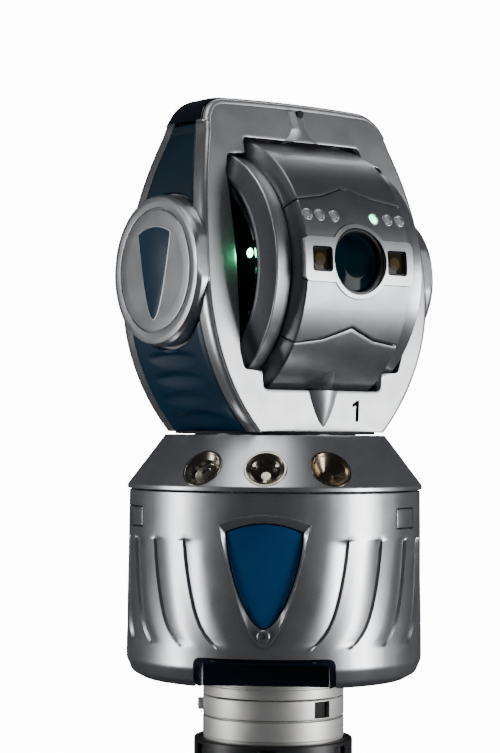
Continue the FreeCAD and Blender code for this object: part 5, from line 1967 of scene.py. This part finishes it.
        mesh = mapped_grid(columns, rows, place)
        bmesh.ops.reverse_faces(mesh, faces=mesh.faces)
        ridge = self.placed(thickened(mesh, 0.6))
        Piece("chin_sight", ridge, self.finishes.shaded_drum_silver, Body.DRUM, [], "drum_paint", sharp=40)

    def plate_outline(self, inset: float) -> list[Point]:
        """Walk round the lens plate: a long rounded bar with a round bulge in the middle.

        Args:
            inset: Distance to draw it in by.

        Returns:
            (x, z) points, anticlockwise.
        """
        half, high = self.plate_half - inset, self.plate_half_height - inset
        bulge = self.plate_bulge - inset
        meet = math.sqrt(bulge**2 - high**2)
        start = math.asin(high / bulge)
        right = softened([(meet + 1, -high, 1.0), (half, -high, 5.0), (half, high, 5.0),
                          (meet + 1, high, 1.0)],
                         closed=False)
        for step in range(25):
            angle = mix(start, math.pi - start, step / 24)
            right.append((bulge * math.cos(angle), bulge * math.sin(angle)))
        return right + [(-across, -up) for across, up in right]

    def plate_cutter(self) -> Mesh:
        """Make the solid that clears the lens plate's place in the brow."""
        return slab(self.plate_outline(-0.25), 60, 120)

    def lamp_matrix(self, across: float) -> Matrix:
        """Stand a lamp on the drum above the lens plate."""
        return Matrix.Translation((across, 0, 0)) @ Matrix.Rotation(math.radians(-18.9), 4, "X")

    def lamp_places(self) -> list[float]:
        """List the six lamps' places along the axis."""
        return [side * across for side in (-1, 1) for across in (self.lit_lamp, 31.0, 42.0)]

    def lamp_cutters(self) -> list[Mesh]:
        """Make the solids that bore the lamps' holes."""
        return [moved(post(4.65, 80, 110, 0, 32),
                      self.lamp_matrix(across)) for across in self.lamp_places()]

    def lens_plate(self) -> None:
        """Build the raised plate round the lens and the cameras."""
        mesh = slab(self.plate_outline(0.1), 84, 101, 0)
        surface = self.radius + 0.9
        outside = lathe([(surface, -70), (surface + 20, -70), (surface + 20, 70), (surface, 70)], 360)
        turned(outside, 90, "Y")
        cutters = [outside, post(self.lens_radius + 2.9, 60, 120, 0, 96)]
        for side in (-1, 1):
            low = (side * self.camera_place - 9, -120, -9)
            cutters.append(block(low, (side * self.camera_place + 9, -70, 9), 2.2))
        mesh = carve(mesh, cutters)
        Piece("optics_plate", self.placed(mesh), self.finishes.plate_silver, Body.DRUM, ["lens_plate"],
              "drum_paint")

    def optics(self) -> None:
        """Build the lens ring, the lens and the two camera windows."""
        ring = lathe(softened([
            (self.lens_radius, 70, 0), (self.lens_radius + 2.8, 70, 0),
            (self.lens_radius + 2.8, self.radius - 2.2, 0.5),
            (self.lens_radius + 0.9, self.radius - 2.0, 0.4), (self.lens_radius, self.radius - 3.2, 0.3),
        ]), 96)
        turned(ring, 90, "X")
        Piece("lens_mount", self.placed(ring), self.finishes.black, Body.DRUM, ["lens_ring"], "black_metal")
        glass = lathe(softened([(0, 85, 0), (self.lens_radius - 0.05, 85, 0),
                                (self.lens_radius - 0.05, 92.6, 0.5),
                                (12, 94.0, 8), (0, 94.3, 0)]), 96)
        turned(glass, 90, "X")
        Piece("lens", self.placed(glass), self.finishes.lens, Body.DRUM, ["lens_window"], "lens_glass")
        frames, panes, eyes = [], [], []
        for side in (-1, 1):
            centre = side * self.camera_place
            frame = block((centre - 8.9, -97.6, -8.9), (centre + 8.9, -90, 8.9), 1.9)
            hollow = block((centre - 7.6, -110, -7.6), (centre + 7.6, -95.4, 7.6), 1.4)
            frames.append(carve(frame, [hollow]))
            panes.append(block((centre - 7.5, -95.9, -7.5), (centre + 7.5, -95.3, 7.5), 0.2))
            eye = post(4.8, 94, 96.15, 0.5)
            eyes.append(moved(eye, Matrix.Translation((centre, 0, 0))))
        Piece("camera_frames", self.placed(combined(*frames)), self.finishes.black, Body.DRUM,
              ["camera_windows"],
              "camera_glass")
        Piece("camera_panes", self.placed(combined(*panes)), self.finishes.camera_glass, Body.DRUM)
        Piece("camera_eyes", self.placed(combined(*eyes)), self.finishes.camera_eye, Body.DRUM)

    def lamps(self) -> None:
        """Build the six indicator lenses, one of them lit, in bright cups."""
        cups, clear = [], []
        for across in self.lamp_places():
            cup = lathe(softened([(3.2, 92, 0.1), (4.6, 92, 0.1), (4.6, self.radius + 0.35, 0.4),
                                  (3.9, self.radius + 0.55, 0.3), (3.2, self.radius - 0.6, 0.1)]), 32)
            turned(cup, 90, "X")
            cups.append(moved(cup, self.lamp_matrix(across)))
            lens = moved(post(3.2, 90, self.radius + 0.1, 1.5, 32), self.lamp_matrix(across))
            if across == self.lit_lamp:
                Piece("lit_indicator", self.placed(lens), self.finishes.green_lamp, Body.DRUM, [],
                      "light_green")
            else:
                clear.append(lens)
        Piece("indicator_cups", self.placed(combined(*cups)), self.finishes.lit_face_silver, Body.DRUM, [],
              "drum_paint")
        Piece("indicators", self.placed(combined(*clear)), self.finishes.clear_lamp, Body.DRUM,
              ["indicator_lenses"],
              "light_clear")

    def discs(self) -> None:
        """Build both end discs with their dark dishes and lights, and the shadow gaps inside them."""
        lights, gaps = [], []
        for side in Side:
            name = side.name.lower()
            lay = Matrix.Rotation(side.value * math.pi / 2, 4, "Y")
            disc = softened([
                (22.2, 55.6, 0), (84.0, 55.6, 0.5), (86.3, 56.2, 0.8), (88.6, 66.2, 1.2), (76.9, 72.9, 1.2),
                (74.6, 72.9, 0.6), (67.0, 64.0, 1.5), (60.0, 63.0, 0.5), (60.0, 61.0, 0), (22.2, 61.0, 0),
            ])
            Piece(f"end_disc_{name}", self.placed(moved(lathe(disc, 200), lay)), self.finishes.grey,
                  Body.DRUM,
                  [f"side_disc_{name}"], "disc_grey")
            rim = softened([(80.5, 52.3, 0), (85.9, 52.3, 0.5), (87.0, 53.2, 0.8), (89.1, 65.6, 0.5),
                            (88.3, 66.5, 0.5),
                            (86.0, 64.0, 0), (80.5, 57.0, 0)])
            Piece(f"disc_rim_{name}", self.placed(moved(lathe(rim, 200), lay)), self.finishes.silver,
                  Body.DRUM, [],
                  "silver_paint")
            dish = softened([(22.4, 61.0, 0), (66.2, 61.0, 0), (73.9, 72.3, 0.6), (71.0, 70.8, 1.0),
                             (62.0, 64.6, 8.0),
                             (30.0, 64.0, 1.0), (22.4, 64.0, 0.2)])
            Piece(f"dish_{name}", self.placed(moved(lathe(dish, 160), lay)), self.finishes.recess_gloss,
                  Body.DRUM)
            lamp = lathe(softened([(0, 62, 0), (3.6, 62, 0), (3.4, 65.0, 1.2), (0, 66.0, 0)]), 32)
            turn = math.degrees(math.atan2(8.0, 55.0))
            reach = math.hypot(8.0, 55.0)
            spot = self.spot(0, turn, reach)
            lights.append(moved(moved(lamp, lay), Matrix.Translation(spot)))
            gaps.append(moved(lathe([(60, 50.5), (80.2, 50.5), (80.2, 56.5), (60, 56.5)], 96), lay))
        Piece("side_lamps", self.placed(combined(*lights)), self.finishes.green_core, Body.DRUM,
              ["side_lights"],
              "light_green")
        Piece("gap_rings", self.placed(combined(*gaps)), self.finishes.gap, Body.DRUM)

    def build(self) -> None:
        """Build the whole drum."""
        self.covers()
        self.chin_ridge()
        self.lens_plate()
        self.optics()
        self.lamps()
        self.discs()


# ------------------------------------------------------------------------------ inner works


class InnerWorks:
    """Dresses the CAD nodes that stay: castings, shafts, bearings, motors and electronics."""

    def __init__(self, nodes: dict[str, Thing], finishes: Finishes) -> None:
        """Keep the nodes and the finishes."""
        self.nodes = nodes
        self.finishes = finishes

    def dress(self) -> None:
        """Give each kept node its finish."""
        wear = {
            self.finishes.casting: ["base_plate", "azimuth_housing", "yoke_base", "yoke_arm_left",
                                    "yoke_arm_right",
                                    "yoke_bridge", "drum_frame"],
            self.finishes.steel: ["base_plate_screws", "azimuth_bearings", "elevation_bearings",
                                  "azimuth_spindle",
                                  "trunnions", "laser_tube", "azimuth_rotor", "elevation_rotor",
                                  "nest_magnets"],
            self.finishes.winding: ["azimuth_stator", "elevation_stator"],
            self.finishes.polished: ["azimuth_encoder_disc", "elevation_encoder_disc"],
            self.finishes.board: ["controller_board"],
            self.finishes.matte_black: ["camera_modules"],
        }
        for finish, names in wear.items():
            for name in names:
                node = self.nodes[name]
                node.data.materials.clear()
                node.data.materials.append(finish)
                LOG.info("%s keeps its CAD shape", name)


# ------------------------------------------------------------------------------ main


def main() -> None:
    """Load the frame, build the head round it and hand it back."""
    logging.basicConfig(level=logging.INFO, format="%(name)s %(message)s")
    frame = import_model()
    finishes = Finishes()
    Studio().build()
    StandMount(finishes).build()
    BaseCasing(finishes).build()
    Collar(finishes).build()
    YokeCasing(finishes).build()
    Drum(finishes).build()
    InnerWorks(frame["nodes"], finishes).dress()


if __name__ == "__main__":
    main()
